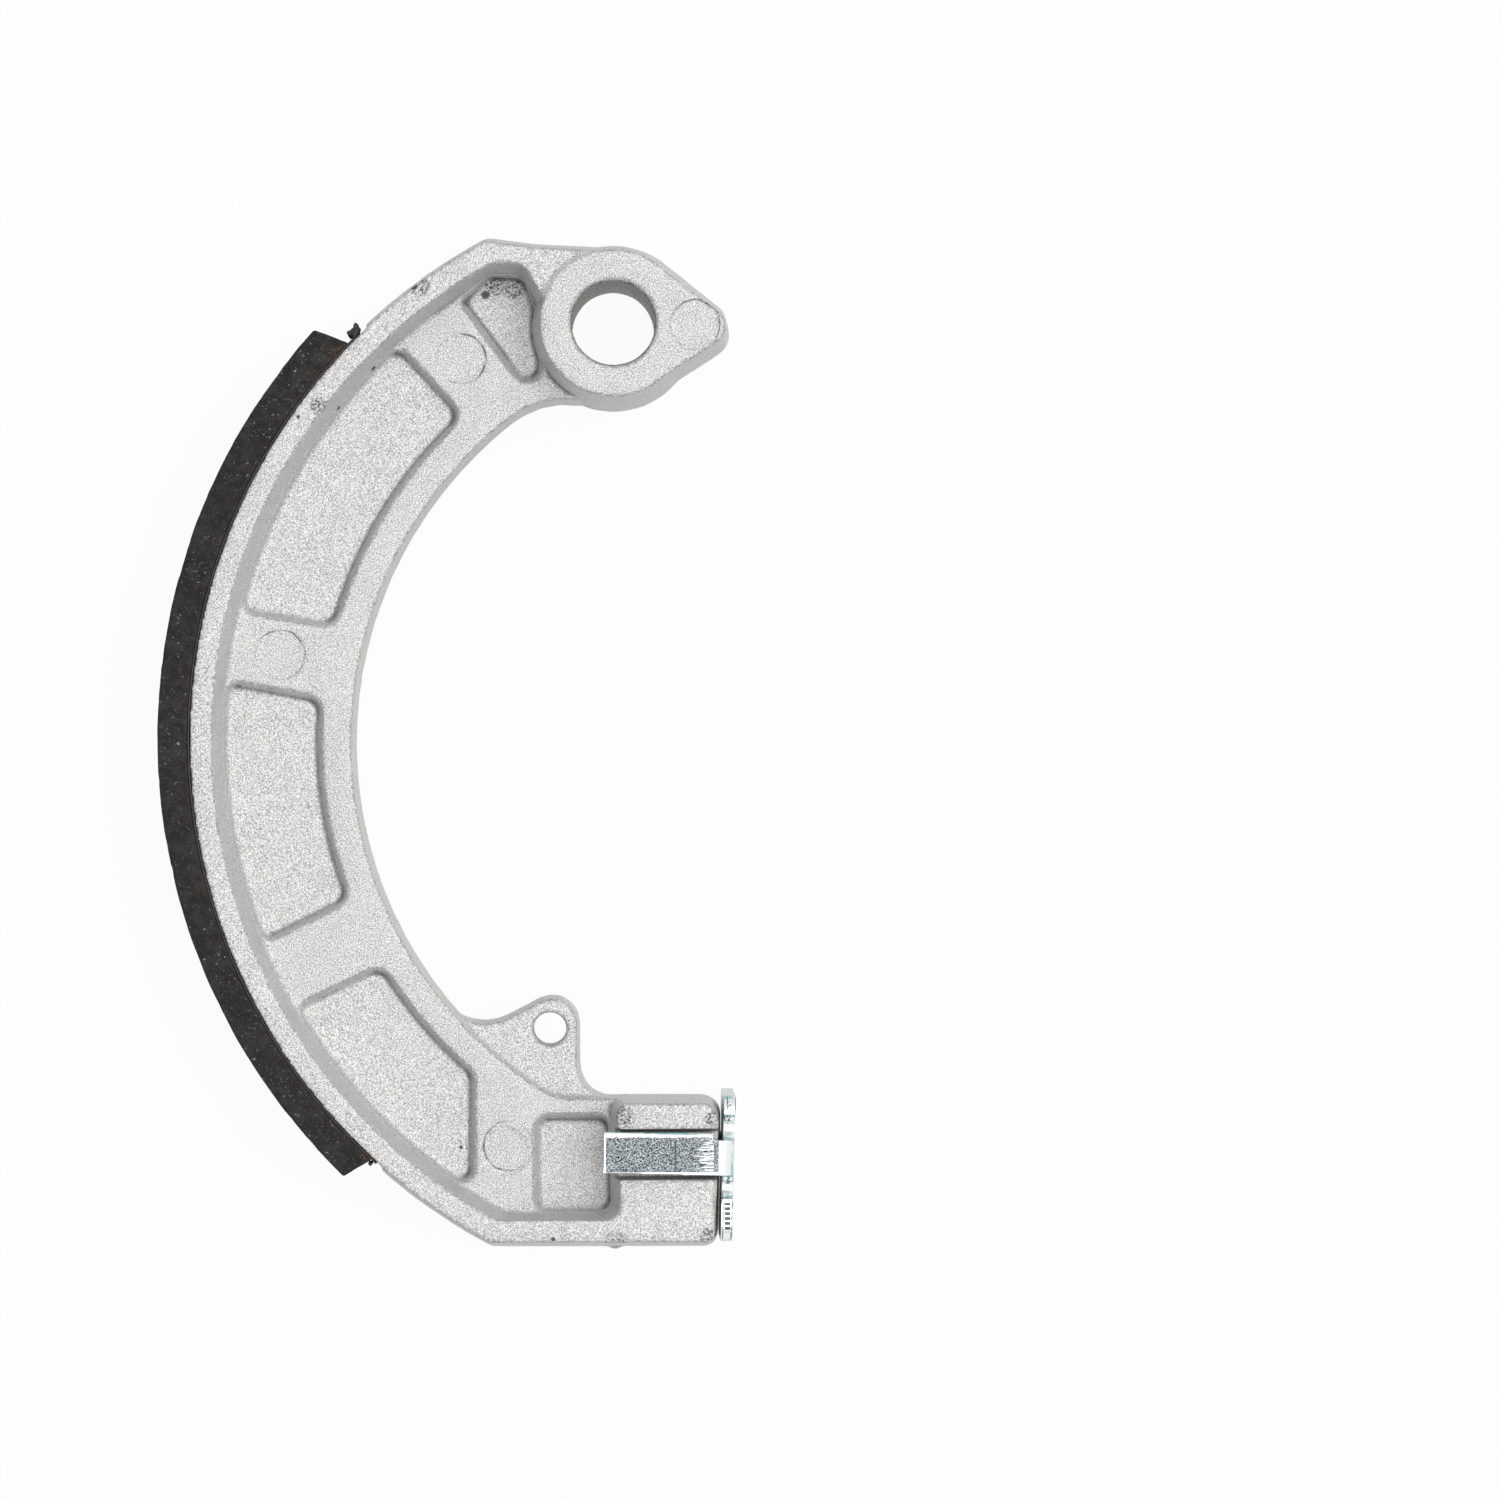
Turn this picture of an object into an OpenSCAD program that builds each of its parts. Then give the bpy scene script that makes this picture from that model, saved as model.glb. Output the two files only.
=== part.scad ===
// Drum brake shoe: a die-cast shoe with a bonded lining and a folded steel cap on its cam end.
// The origin is the axis of the anchor bore, in the plane of the far side face.
// Z runs across the drum, so the shoe lies flat. Lengths are in millimetres.

/* [Drum and lining] */
// Inner diameter of the drum
drum_d = 150; // [146:0.5:156]
// Drum centre from the anchor bore, across the shoe
drum_x = 18.95; // [17:0.05:21]
// Drum centre from the anchor bore, along the shoe
drum_y = 51; // [49:0.1:53]
// Width of rim and lining
shoe_w = 24; // [20:0.5:30]
// Diameter of the machined seat for the lining
seat_d = 140.2; // [136:0.2:143]
// How far the seat centre lies off the drum centre, away from the cam
seat_shift_x = 0.95; // [0:0.05:1.5]
// How far the seat centre lies off the drum centre, away from the anchor
seat_shift_y = 0.28; // [0:0.02:1]
// Angle of the lining from the middle up to its anchor end
lining_up = 42; // [36:0.5:44]
// Angle of the lining from the middle down to its cam end
lining_down = 46; // [38:0.5:48]
// Slant of the lining's anchor end
slant_up = 21.4; // [0:0.2:25]
// Slant of the lining's cam end
slant_down = 15.4; // [0:0.2:25]
// Thickness of the adhesive
bond_t = 0.15; // [0.1:0.05:0.3]
// Diameter of the bead of squeezed-out adhesive at the anchor end
bead_up_d = 1.7; // [1:0.1:2]
// Gap between that bead and the lining
bead_up_gap = 0.45; // [0.2:0.05:1]
// Diameter of the bead at the cam end
bead_down_d = 0.9; // [0.6:0.1:2]
// Gap between that bead and the lining
bead_down_gap = 0.25; // [0.2:0.05:1]

/* [Rim and web] */
// Diameter of the web's inner edge
web_in_d = 101; // [98:0.1:104]
// How far the centre of that edge lies off the seat centre, towards the cam
web_shift_x = 0.65; // [0:0.05:1]
// How far it lies off the seat centre, away from the anchor
web_shift_y = 0.3; // [0:0.05:1]
// Thickness of the web
web_t = 10; // [8:0.5:12]
// Thickness of the rim at the side faces
rim_t = 2.9; // [2.5:0.1:3.5]
// Depth that machining the seat takes off the rim's edge
seat_cut = 0.08; // [0.05:0.01:0.2]
// Draft of the outer walls, in mm for each mm of height
draft = 0.1; // [0.06:0.01:0.12]
// Share of that draft on the rim's outer face
rim_share = 0.85; // [0.5:0.05:1]
// Share of that draft on the end face and the free top edge of the cam end
end_share = 0.43; // [0.3:0.01:1]
// Draft of the walls of the side recesses
recess_draft = 0.12; // [0.08:0.01:0.14]
// Height of the top corner above the anchor bore
top_y = 11.4; // [10.9:0.1:13]
// Radius of the outer corners
corner_r = 2.4; // [1.6:0.1:3]

/* [Web pockets] */
// Depth of the pockets
pocket_d = 1.6; // [1:0.1:2.2]
// Depth of the two pockets next to the boss and the cam end
end_pocket_d = 2; // [1:0.1:2.4]
// Draft of the pocket walls
pocket_draft = 0.35; // [0.1:0.05:0.4]
// Width of the web inside the pockets, at their floor
pocket_margin = 4.2; // [3.6:0.1:5.4]
// Ledge between the pockets and the walls around them
ledge = 0.2; // [0.1:0.05:0.5]
// Angle of the first rib, between the anchor end and the middle
rib_a = 10.2; // [8:0.2:14]
// Angle of the second rib, between the middle and the cam end
rib_b = 26.1; // [24:0.1:28]
// Width of the ribs at the pocket floor
rib_w = 9.8; // [7:0.2:12]
// Angle about the seat centre at which the first long pocket starts
pocket_from = 132.7; // [131:0.1:135]
// Angle at which the last long pocket ends on its outer side
pocket_to_out = 237.2; // [234:0.1:238]
// Angle at which it ends on its inner side
pocket_to_in = 229.3; // [227:0.1:231]
// Length of the pocket beside the pads
pad_pocket_l = 8.6; // [6:0.1:9]
// Corner radius of the pockets
pocket_r = 1.6; // [1:0.1:2]
// Diameter of the round marks that the ejector pins left
mark_d = 6.1; // [5:0.1:7]
// Depth of those marks
mark_depth = 0.15; // [0.1:0.05:0.3]

/* [Anchor eye] */
// Diameter of the anchor bore
bore_d = 10.2; // [9:0.1:12]
// Diameter of the boss at the parting plane
boss_d = 20.8; // [20.4:0.1:22]
// How far the boss stands proud of the near side face
boss_proud = 0.5; // [0.1:0.1:1]
// Chamfer of the bore at the near face
bore_chamfer = 0.35; // [0.2:0.05:0.8]
// Diameter of the countersink at the far face
sink_d = 11.8; // [11:0.1:13]
// Depth of the countersink
sink_depth = 1.2; // [0.6:0.1:2]
// Fillet between the boss and the web's inner edge
boss_fillet = 10.5; // [8:0.5:13]
// Slant of the nose's upper flank, which runs on from the boss
nose_up_angle = 38.7; // [34:0.1:42]
// Length of that flank
nose_up_l = 9.3; // [8.6:0.1:10]
// Slant of the nose's lower flank
nose_low_angle = 32.7; // [30:0.1:38]
// How far the lower flank lies inside the boss
nose_low_in = 0.55; // [0.4:0.05:1]
// Length of that flank
nose_low_l = 11.5; // [10.5:0.1:12]
// Radius of the nose's upper corner
nose_up_r = 1.6; // [1:0.1:2]
// Radius of the nose's lower corner
nose_low_r = 3; // [1:0.1:3.2]

/* [Cam end] */
// How far the end face stops short of the seat centre
cam_gap = 4.75; // [3:0.05:7]
// Middle of the end face below the seat centre
cam_y = 53.56; // [52:0.02:55]
// Height of the end face
cam_h = 19; // [18:0.2:20]
// Tilt of the end face
cam_tilt = 1.5; // [0:0.1:3]
// Radius of its lower corner
cam_low_r = 1.7; // [1:0.1:3]
// Length of the two pads along the shoe
pad_len = 12.6; // [10:0.1:14]
// Height of the tab groove's middle above the middle of the end face
groove_up = 2.66; // [2:0.02:3.2]

/* [Spring lug] */
// Diameter of the spring hole
hole_d = 4; // [3:0.1:5]
// How far the spring hole lies inside the web's inner edge
hole_in = 6.35; // [5.5:0.05:7.5]
// Angle of the spring hole about the seat centre
hole_angle = 234.18; // [233.2:0.02:235]
// Thickness of the lug
lug_t = 7.8; // [6:0.2:9]
// Wall of the lug beside the hole
lug_wall = 1.8; // [1.5:0.1:2.4]

/* [Cam end cap] */
// Thickness of the steel sheet
sheet_t = 1.5; // [1:0.1:2]
// How much shorter the plate is than the end face
plate_short = 1; // [0:0.2:3]
// How far the plate's middle lies above the end face's
plate_up = 0.8; // [0:0.1:1]
// How far the plate's edges stay inside the side faces
plate_inset = 0.6; // [0.3:0.1:1.5]
// Corner radius of the plate
plate_r = 1.8; // [0.5:0.1:2.5]
// Gap between the plate and the end face
plate_gap = 0.1; // [0.05:0.05:0.3]
// Inner radius of the folds
bend_r = 0.6; // [0.4:0.1:1]
// Width of the tabs
tab_w = 5.45; // [4.6:0.05:6]
// Length of the tabs from the end face
tab_l = 14.56; // [12:0.02:16]
// How far the tabs lie below the side faces
tab_sink = 0.2; // [0:0.05:0.5]
// Gap beside the tabs in their grooves
tab_gap = 0.25; // [0.1:0.05:0.5]
// Width of the relief notch above the fold
relief_up = 3.1; // [2.4:0.1:3.4]
// Width of the relief notch below the fold
relief_down = 2.8; // [2.4:0.1:3.4]
// Depth of the relief notches
relief_d = 3; // [2.6:0.1:4]

/* [Hidden] */
$fn = 96;
corner_steps = 5;
facet = 3;
over = 1;

drum_r = drum_d / 2;
seat_r = seat_d / 2;
lining_in_r = seat_r + bond_t;
drum_c = [drum_x, -drum_y];
seat_c = drum_c - [seat_shift_x, seat_shift_y];
web_c = seat_c + [web_shift_x, -web_shift_y];
mid = shoe_w / 2;
cast_r = seat_r + seat_cut + rim_share * draft * mid;
web_in_r = web_in_d / 2;
web_z = mid + web_t / 2;
rim_in_r = seat_r - rim_t;
wall_foot = recess_draft * (shoe_w - web_z);
boss_r = boss_d / 2;
boss_z = shoe_w + boss_proud;
nose_low_share = 0.7;

// What is left of the gate at the lower edge of the rim
gate_r = 1.3;
gate_sunk = 0.75;

// The ejector marks on the web: their angles about the seat centre, and their ring
mark_angles = [127.9, 169.9, 238.4];
mark_r = web_in_r + 9.3;
bore_r = bore_d / 2;

// Cam end: its middle, its edges, and the x of the end face at a height y
cam_c = seat_c - [cam_gap, cam_y];
cam_top = cam_c.y + cam_h / 2;
cam_bottom = cam_c.y - cam_h / 2;
function end_x(y) = cam_c.x + (y - cam_c.y) * tan(cam_tilt);
pad_x = cam_c.x - pad_len;
fold_top = shoe_w - tab_sink;
groove_z = fold_top - sheet_t;
groove_w = tab_w + 2 * tab_gap;
groove_y = cam_c.y + groove_up;

// Walls of the side recess at the side face, and their feet at the web
recess_top = top_y - draft * mid - rim_t;
recess_bottom = cam_bottom + draft * mid + rim_t;
steep = 0.3;
pocket_in_r = web_in_r + pocket_margin;

// Spring hole
hole = on_circle(seat_c, web_in_r - hole_in, hole_angle);
lug_side = hole_d / 2 + lug_wall;
lug_foot_r = 4;
lug_top_r = 3.5;
lug_root_r = 6.5;

function unit(v) = v / norm(v);
function xy(p) = [p.x, p.y];
function on_circle(c, r, a) = c + r * [cos(a), sin(a)];
function height_angle(c, r, y) = asin((y - c.y) / r);

// Points of an outline are [x, y, corner radius, share of the draft on the edge that starts there].
function corner(p, r = 0, share = 1) = [p.x, p.y, r, share];

// Arc about c from angle a0 to a1, with the given corner radii at its two ends
function arc(c, r, a0, a1, r0 = 0, r1 = 0, share = 1, last = 1) =
    let (n = max(2, floor(abs(a1 - a0) * PI / 180 * r / min(facet, r / 6))))
    [for (i = [0:n]) corner(on_circle(c, r, a0 + (a1 - a0) * i / n),
        i == 0 ? r0 : i == n ? r1 : 0, i == n ? last : share)];

// Where the edges a-b and b-c meet after they move inwards by da and db
function inset_point(a, b, c, da, db) =
    let (u = unit(b - a), v = unit(c - b), s = cross(u, v))
    abs(s) < 0.0001 ? b + da * [-u.y, u.x] : b + (v * da - u * db) / s;

// An outline moved inwards by d; corner radii follow, so that round corners stay concentric
function inset(o, d) =
    let (n = len(o))
    [for (i = [0:n - 1])
        let (a = o[(i + n - 1) % n], b = o[i], c = o[(i + 1) % n],
            q = inset_point(xy(a), xy(b), xy(c), d * a[3], d * b[3]),
            turn = sign(cross(xy(b) - xy(a), xy(c) - xy(b))),
            r = b[2] == 0 ? 0 : max(b[2] - turn * d * min(a[3], b[3]), 0.2))
        [q.x, q.y, r, b[3]]];

function round_corner(a, b, c, r) =
    let (u = unit(a - b), w = unit(c - b), half = acos(u * w) / 2,
        m = b + unit(u + w) * r / sin(half), p = b + u * r / tan(half) - m,
        start = atan2(p.y, p.x), sweep = sign(cross(b - a, c - b)) * (180 - 2 * half))
    [for (i = [0:corner_steps]) on_circle(m, r, start + sweep * i / corner_steps)];

function rounded(o) =
    let (n = len(o))
    [for (i = [0:n - 1])
        each o[i][2] == 0 ? [xy(o[i])]
            : round_corner(xy(o[(i + n - 1) % n]), xy(o[i]), xy(o[(i + 1) % n]), o[i][2])];

// The centre of a circle that is r0 from c0 and r1 from c1, on the right of the line from c0 to c1
function circles_meet(c0, r0, c1, r1) =
    let (d = norm(c1 - c0), u = (c1 - c0) / d, a = (r0 * r0 - r1 * r1 + d * d) / (2 * d))
    c0 + a * u + sqrt(r0 * r0 - a * a) * [u.y, -u.x];

// Where a ray from p at angle a first meets the circle r about c
function ray_hit(p, a, c, r) =
    let (u = [cos(a), sin(a)], q = c - p, b = q * u)
    p + u * (b - sqrt(r * r - q * q + b * b));

function in_triangle(p, a, b, c) =
    cross(b - a, p - a) >= 0 && cross(c - b, p - b) >= 0 && cross(a - c, p - c) >= 0;

// Can the corner b of the outline be cut off as a triangle with nothing of the outline in it?
function is_ear(pts, ids, i) =
    let (n = len(ids), ia = ids[(i + n - 1) % n], ib = ids[i], ic = ids[(i + 1) % n],
        a = pts[ia], b = pts[ib], c = pts[ic])
    cross(b - a, c - b) > 0
        && len([for (k = ids) if (k != ia && k != ib && k != ic && in_triangle(pts[k], a, b, c)) k]) == 0;

// Triangles that fill an outline, found by cutting off one corner after another
function fill(pts, ids, i = 0, done = []) =
    let (n = len(ids), j = i % n)
    n == 3 ? concat(done, [ids])
        : is_ear(pts, ids, j) ? fill(pts, [for (k = [0:n - 1]) if (k != j) ids[k]], j + 1,
            concat(done, [[ids[(j + n - 1) % n], ids[j], ids[(j + 1) % n]]]))
        : fill(pts, ids, j + 1, done);

// A solid through outlines of equal point count, stacked at the given heights
module loft(rings, heights) {
    n = len(rings[0]);
    top = len(rings) - 1;
    points = [for (k = [0:top]) for (p = rings[k]) [p.x, p.y, heights[k]]];
    sides = [for (k = [0:top - 1]) for (i = [0:n - 1])
        let (a = k * n + i, b = k * n + (i + 1) % n)
        each [[a, a + n, b + n], [a, b + n, b]]];
    ids = [for (i = [0:n - 1]) i];
    low_end = fill(rings[0], ids);
    high_end = [for (t = fill(rings[top], ids)) [t[2] + top * n, t[1] + top * n, t[0] + top * n]];
    polyhedron(points, concat(sides, low_end, high_end));
}

// A cast solid: full size at the parting plane, drafted towards both faces
module cast(outline, low, high) {
    loft([rounded(inset(outline, draft * (mid - low))), rounded(outline),
        rounded(inset(outline, draft * (high - mid)))], [low, mid, high]);
}

// A cut that opens upwards: the outline holds at height z
module sunk(outline, z, floor_z, top_z, slope) {
    loft([rounded(inset(outline, slope * (z - floor_z))), rounded(inset(outline, slope * (z - top_z)))],
        [floor_z, top_z]);
}

module both_faces() {
    children();
    translate([0, 0, shoe_w]) mirror([0, 0, 1]) children();
}

// Outline of rim, web and cam end at the parting plane
fillet_c = circles_meet([0, 0], boss_r + boss_fillet, web_c, web_in_r - boss_fillet);
fillet_a = atan2(fillet_c.y - web_c.y, fillet_c.x - web_c.x);
boss_a = atan2(-fillet_c.y, -fillet_c.x);
body_outline = concat(
    [corner([0.05, 0.96] * boss_r), corner([-0.29, 0.99] * boss_r), corner([-0.89, 1.015] * boss_r)],
    arc(seat_c, cast_r, 180 - height_angle(seat_c, cast_r, top_y),
        180 - height_angle(seat_c, cast_r, cam_bottom), corner_r, 0.6 * corner_r, rim_share),
    [corner([end_x(cam_bottom), cam_bottom], cam_low_r, end_share),
        corner([end_x(cam_top), cam_top], corner_r, end_share)],
    arc(web_c, web_in_r, 180 - height_angle(web_c, web_in_r, cam_top), fillet_a, 2.5 * corner_r),
    arc(fillet_c, boss_fillet, fillet_a - 10, boss_a + 8),
    [corner([-0.1, -0.82] * boss_r), corner([0.1, -0.5] * boss_r)]);

// Outline of the side recess at the side face; its right side runs clear of the web's inner edge
recess_outline = concat(
    [corner([-0.72, 0.09] * boss_r), corner([-1.08 * boss_r, recess_top], 0.75 * corner_r)],
    arc(seat_c, rim_in_r, 180 - height_angle(seat_c, rim_in_r, recess_top),
        180 - height_angle(seat_c, rim_in_r, recess_bottom), corner_r, corner_r, 1, end_share),
    [corner([pad_x + 0.2, recess_bottom], 0.8 * corner_r),
        corner([pad_x - 0.2, cam_top - 1.6], 0.4 * corner_r),
        corner([pad_x + 1.9, cam_top + 1.3]), corner(seat_c - [0.2, 0] * web_in_r),
        corner([-0.15, -1.25] * boss_r), corner([-0.15, -0.6] * boss_r)]);

// A pocket between two angles about the seat centre, given at its outer and its inner side
function pocket_outline(out0, out1, in0, in1) =
    let (out_r = rim_in_r - wall_foot - ledge - steep * pocket_draft * pocket_d)
    concat(arc(seat_c, out_r, out0, out1, 0.8 * pocket_r, 0.8 * pocket_r, steep),
        arc(seat_c, pocket_in_r, in1, in0, pocket_r, pocket_r));

function arc_angle(l, r) = l / r * 180 / PI;
rib_out = arc_angle(rib_w / 2, rim_in_r);
rib_in = arc_angle(rib_w / 2, pocket_in_r);
end_pocket_wall = steep * pocket_draft * end_pocket_d;
boss_pocket_top = recess_top - wall_foot - ledge - end_pocket_wall;

// The pocket beside the boss, whose wall closes its right side
boss_pocket = [corner([-1.77, 0.31] * boss_r, 0.3 * pocket_r),
    corner([-0.89, -0.87] * boss_r, 0.8 * pocket_r), corner([-0.92, 0.11] * boss_r),
    corner([-1.09 * boss_r, boss_pocket_top - 0.1], 0.9 * pocket_r, steep),
    corner([-1.46 * boss_r, boss_pocket_top], 0.75 * pocket_r, steep)];

// The pocket beside the pads, which ends below the top of the cam end
pad_pocket_top = cam_top - 3;
pad_pocket_x = pad_x - wall_foot - ledge / 2 - end_pocket_wall;
pad_pocket_low = recess_bottom + end_share * wall_foot + ledge + end_pocket_wall;
pad_pocket = [corner([pad_pocket_x - pad_pocket_l, pad_pocket_top], 0.75 * pocket_r),
    corner([pad_pocket_x - pad_pocket_l, pad_pocket_low], 0.75 * pocket_r, steep),
    corner([pad_pocket_x + 0.15, pad_pocket_low], 0.75 * pocket_r, steep),
    corner([pad_pocket_x - 0.2, pad_pocket_top], 0.75 * pocket_r)];

module web_pockets() {
    top = web_z + over / 2;
    floor_z = web_z - pocket_d;
    for (o = [
        pocket_outline(pocket_from, 180 - rib_a - rib_out, pocket_from, 180 - rib_a - rib_in),
        pocket_outline(180 - rib_a + rib_out, 180 + rib_b - rib_out,
            180 - rib_a + rib_in, 180 + rib_b - rib_in),
        pocket_outline(180 + rib_b + rib_out, pocket_to_out, 180 + rib_b + rib_in, pocket_to_in)])
        sunk(o, floor_z, floor_z, top, pocket_draft);
    for (o = [boss_pocket, pad_pocket])
        sunk(o, web_z - end_pocket_d, web_z - end_pocket_d, top, pocket_draft);
}

module boss() {
    cylinder(r1 = boss_r - draft * mid, r2 = boss_r, h = mid);
    translate([0, 0, mid]) cylinder(r1 = boss_r, r2 = boss_r - draft * (boss_z - mid), h = boss_z - mid);
}

module nose() {
    up_side = flank(nose_up_angle, boss_r, nose_up_l);
    low_side = [for (p = flank(nose_low_angle, boss_r - nose_low_in, nose_low_l)) [p.x, -p.y]];
    cast([corner(low_side[0], 0, nose_low_share), corner(low_side[1], nose_low_r, end_share),
        corner(up_side[1], nose_up_r), corner(up_side[0])], 0, boss_z);
}

// Two points of a straight flank that leaves a circle of the given radius about the bore, at a slant
function flank(slant, radius, length) =
    let (foot = radius * [sin(slant), cos(slant)], along = [cos(slant), -sin(slant)])
    [foot - along, foot + length * along];

// The lug for the return spring, blended into the web and the cam end
module lug() {
    right = hole.x + lug_side;
    outline = [corner([right + pad_pocket_l, cam_top - 2]), corner([right + pad_pocket_l, cam_top - 0.06]),
        corner([right, cam_top - 0.06], lug_foot_r), corner([right, hole.y + 1.73 * lug_side], lug_top_r),
        corner(hole - [2.36, 0.06] * lug_side, lug_root_r),
        corner(on_circle(web_c, web_in_r + 0.95, hole_angle - 17.1)),
        corner(on_circle(web_c, web_in_r + 3, hole_angle - 14.5)),
        corner([hole.x - 0.8 * lug_side, cam_top - 2])];
    cast(outline, mid - lug_t / 2, mid + lug_t / 2);
}

// Everything the machined seat takes away: outside the seat circle, within the lining's reach
module seat_cut_away() {
    a0 = bond_top_a - arc_angle(bead_up_d, seat_r);
    a1 = bond_bottom_a + arc_angle(bead_down_d, seat_r);
    difference() {
        translate([0, 0, -over]) linear_extrude(height = shoe_w + 2 * over)
            polygon(concat([seat_c],
                [for (i = [0:4]) on_circle(seat_c, 1.3 * seat_r, a0 + (a1 - a0) * i / 4)]));
        translate([seat_c.x, seat_c.y, -2 * over]) cylinder(r = seat_r, h = shoe_w + 4 * over, $fn = 360);
    }
}

// The frame of the cap: x out of the end face, y along it
module at_cam_end() {
    translate([cam_c.x, cam_c.y, 0]) rotate([0, 0, -cam_tilt]) children();
}

module tab_groove() {
    low = groove_y - groove_w / 2;
    high = groove_y + groove_w / 2;
    left = pad_x - 3;
    right = cam_c.x + 4;
    sunk([corner([left, high]), corner([left, low]), corner([right, low]), corner([right, high])],
        groove_z, groove_z, shoe_w + over, recess_draft);
    // The bevel that clears the inside of the fold
    at_cam_end() translate([0, groove_up + groove_w / 2, 0]) rotate([90, 0, 0])
        linear_extrude(height = groove_w)
            polygon([[-2 * bend_r, groove_z + 0.1], [0.6, groove_z - 2.6 * bend_r], [0.6, groove_z + 0.1]]);
}

module shoe_casting() color("gainsboro") {
    difference() {
        union() {
            difference() {
                cast(body_outline, 0, shoe_w);
                both_faces() {
                    sunk(recess_outline, shoe_w, web_z, shoe_w + over, recess_draft);
                    web_pockets();
                }
            }
            boss();
            nose();
            lug();
            translate([pad_x - gate_r / 3, cam_bottom + gate_sunk, mid]) sphere(r = gate_r);
        }
        seat_cut_away();
        both_faces() tab_groove();
        translate([0, 0, -over]) cylinder(r = bore_r, h = boss_z + 2 * over);
        translate([0, 0, boss_z - bore_chamfer])
            cylinder(r1 = bore_r, r2 = bore_r + 2 * bore_chamfer, h = 2 * bore_chamfer);
        translate([0, 0, -sink_depth]) cylinder(r1 = sink_d - bore_r, r2 = bore_r, h = 2 * sink_depth);
        translate([hole.x, hole.y, mid - lug_t]) cylinder(d = hole_d, h = 2 * lug_t);
        for (a = mark_angles)
            translate([seat_c.x, seat_c.y, web_z - mark_depth]) rotate([0, 0, a])
                translate([mark_r, 0, 0]) cylinder(d = mark_d, h = over);
        translate([boss_r - 0.35, -0.2, boss_z - mark_depth]) cylinder(d = mark_d, h = over);
    }
}

// Ends of the lining: a point on the drum circle and the angle at which the end runs inwards
top_end = on_circle(drum_c, drum_r, 180 - lining_up);
bottom_end = on_circle(drum_c, drum_r, 180 + lining_down);
top_run = -lining_up + slant_up;
bottom_run = lining_down - slant_down;
top_in = ray_hit(top_end, top_run, seat_c, lining_in_r);
bottom_in = ray_hit(bottom_end, bottom_run, seat_c, lining_in_r);
lining_top_a = atan2(top_in.y - seat_c.y, top_in.x - seat_c.x);
lining_bottom_a = 360 + atan2(bottom_in.y - seat_c.y, bottom_in.x - seat_c.x);
bond_top_a = lining_top_a - arc_angle(bead_up_gap + bead_up_d / 2, seat_r);
bond_bottom_a = lining_bottom_a + arc_angle(bead_down_gap + bead_down_d / 2, seat_r);

module friction_lining() color([0.22, 0.21, 0.2]) {
    left = drum_c.x - drum_r - 5;
    top_out = on_circle(top_end, 4, top_run + 180);
    bottom_out = on_circle(bottom_end, 4, bottom_run + 180);
    difference() {
        intersection() {
            translate([drum_c.x, drum_c.y, 0]) cylinder(r = drum_r, h = shoe_w, $fn = 360);
            translate([0, 0, -over]) linear_extrude(height = shoe_w + 2 * over)
                polygon([on_circle(top_in, 8, top_run), top_out, [left, top_out.y], [left, bottom_out.y],
                    bottom_out, on_circle(bottom_in, 8, bottom_run)]);
        }
        translate([seat_c.x, seat_c.y, -over]) cylinder(r = lining_in_r, h = shoe_w + 2 * over, $fn = 360);
    }
}

module bond_line() color("black") {
    difference() {
        union() {
            translate([seat_c.x, seat_c.y, 0]) rotate([0, 0, bond_top_a])
                rotate_extrude(angle = bond_bottom_a - bond_top_a, $fn = 360)
                    translate([seat_r - bond_t, 0]) square([2 * bond_t, shoe_w]);
            bead(bond_top_a, bead_up_d);
            bead(bond_bottom_a, bead_down_d);
        }
        translate([seat_c.x, seat_c.y, -over]) cylinder(r = seat_r, h = shoe_w + 2 * over, $fn = 360);
    }
}

// A bead of adhesive at the end of the bond line, which ran down from the near side face
module bead(a, d) {
    p = on_circle(seat_c, seat_r + 0.4 * d, a);
    translate([p.x, p.y, shoe_w - 1.2 * d]) cylinder(d = d, h = d);
}

module cam_end_cap() color("lightsteelblue") at_cam_end() {
    outer = plate_gap + sheet_t;
    low = groove_up - tab_w / 2;
    high = groove_up + tab_w / 2;
    // The upper notch cuts into the root of the tab by about a third of its width
    fold_high = high - 0.34 * relief_up;
    difference() {
        plate();
        both_faces() {
            notch(fold_high, fold_high + relief_up);
            notch(low - relief_down, low);
            translate([-over, low - over, fold_top - bend_r - sheet_t])
                cube([outer + 2 * over, fold_high - low + 2 * over, shoe_w]);
        }
    }
    difference() {
        translate([0, high, 0]) rotate([90, 0, 0]) linear_extrude(height = tab_w) fold_profile();
        both_faces() notch(fold_high, fold_high + relief_up);
        // The tabs narrow towards their ends, so that their upper edges run along the grooves
        translate([0, 0, -over]) linear_extrude(height = shoe_w + 2 * over)
            polygon([[0, high], [-2 * tab_l, high + over], [-2 * tab_l, high - 2 * tab_l * tan(cam_tilt)]]);
    }
}

// The flat plate with round corners
module plate() {
    a = (cam_h - plate_short) / 2 - plate_r;
    b = mid - plate_inset - plate_r;
    translate([plate_gap, plate_up, mid]) rotate([0, 90, 0]) linear_extrude(height = sheet_t) hull()
        for (s = [-1, 1]) for (t = [-1, 1]) translate([s * b, t * a]) circle(r = plate_r, $fn = 32);
}

// A relief notch with a round bottom, cut through the plate's edge from y0 to y1
module notch(y0, y1) {
    r = (y1 - y0) / 2;
    bottom = shoe_w - plate_inset - relief_d + r;
    translate([-bend_r - sheet_t - over, y0 + r, bottom]) rotate([0, 90, 0])
        cylinder(r = r, h = 3 * sheet_t + 2 * over);
    translate([-bend_r - over / 2, y0, bottom]) cube([3 * sheet_t, 2 * r, shoe_w]);
}

// Section of the folded sheet, seen along the shoe: plate, two folds and two tabs
module fold_profile() {
    difference() {
        sheet_outline(bend_r + sheet_t, 0);
        sheet_outline(bend_r, sheet_t);
    }
}

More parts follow.
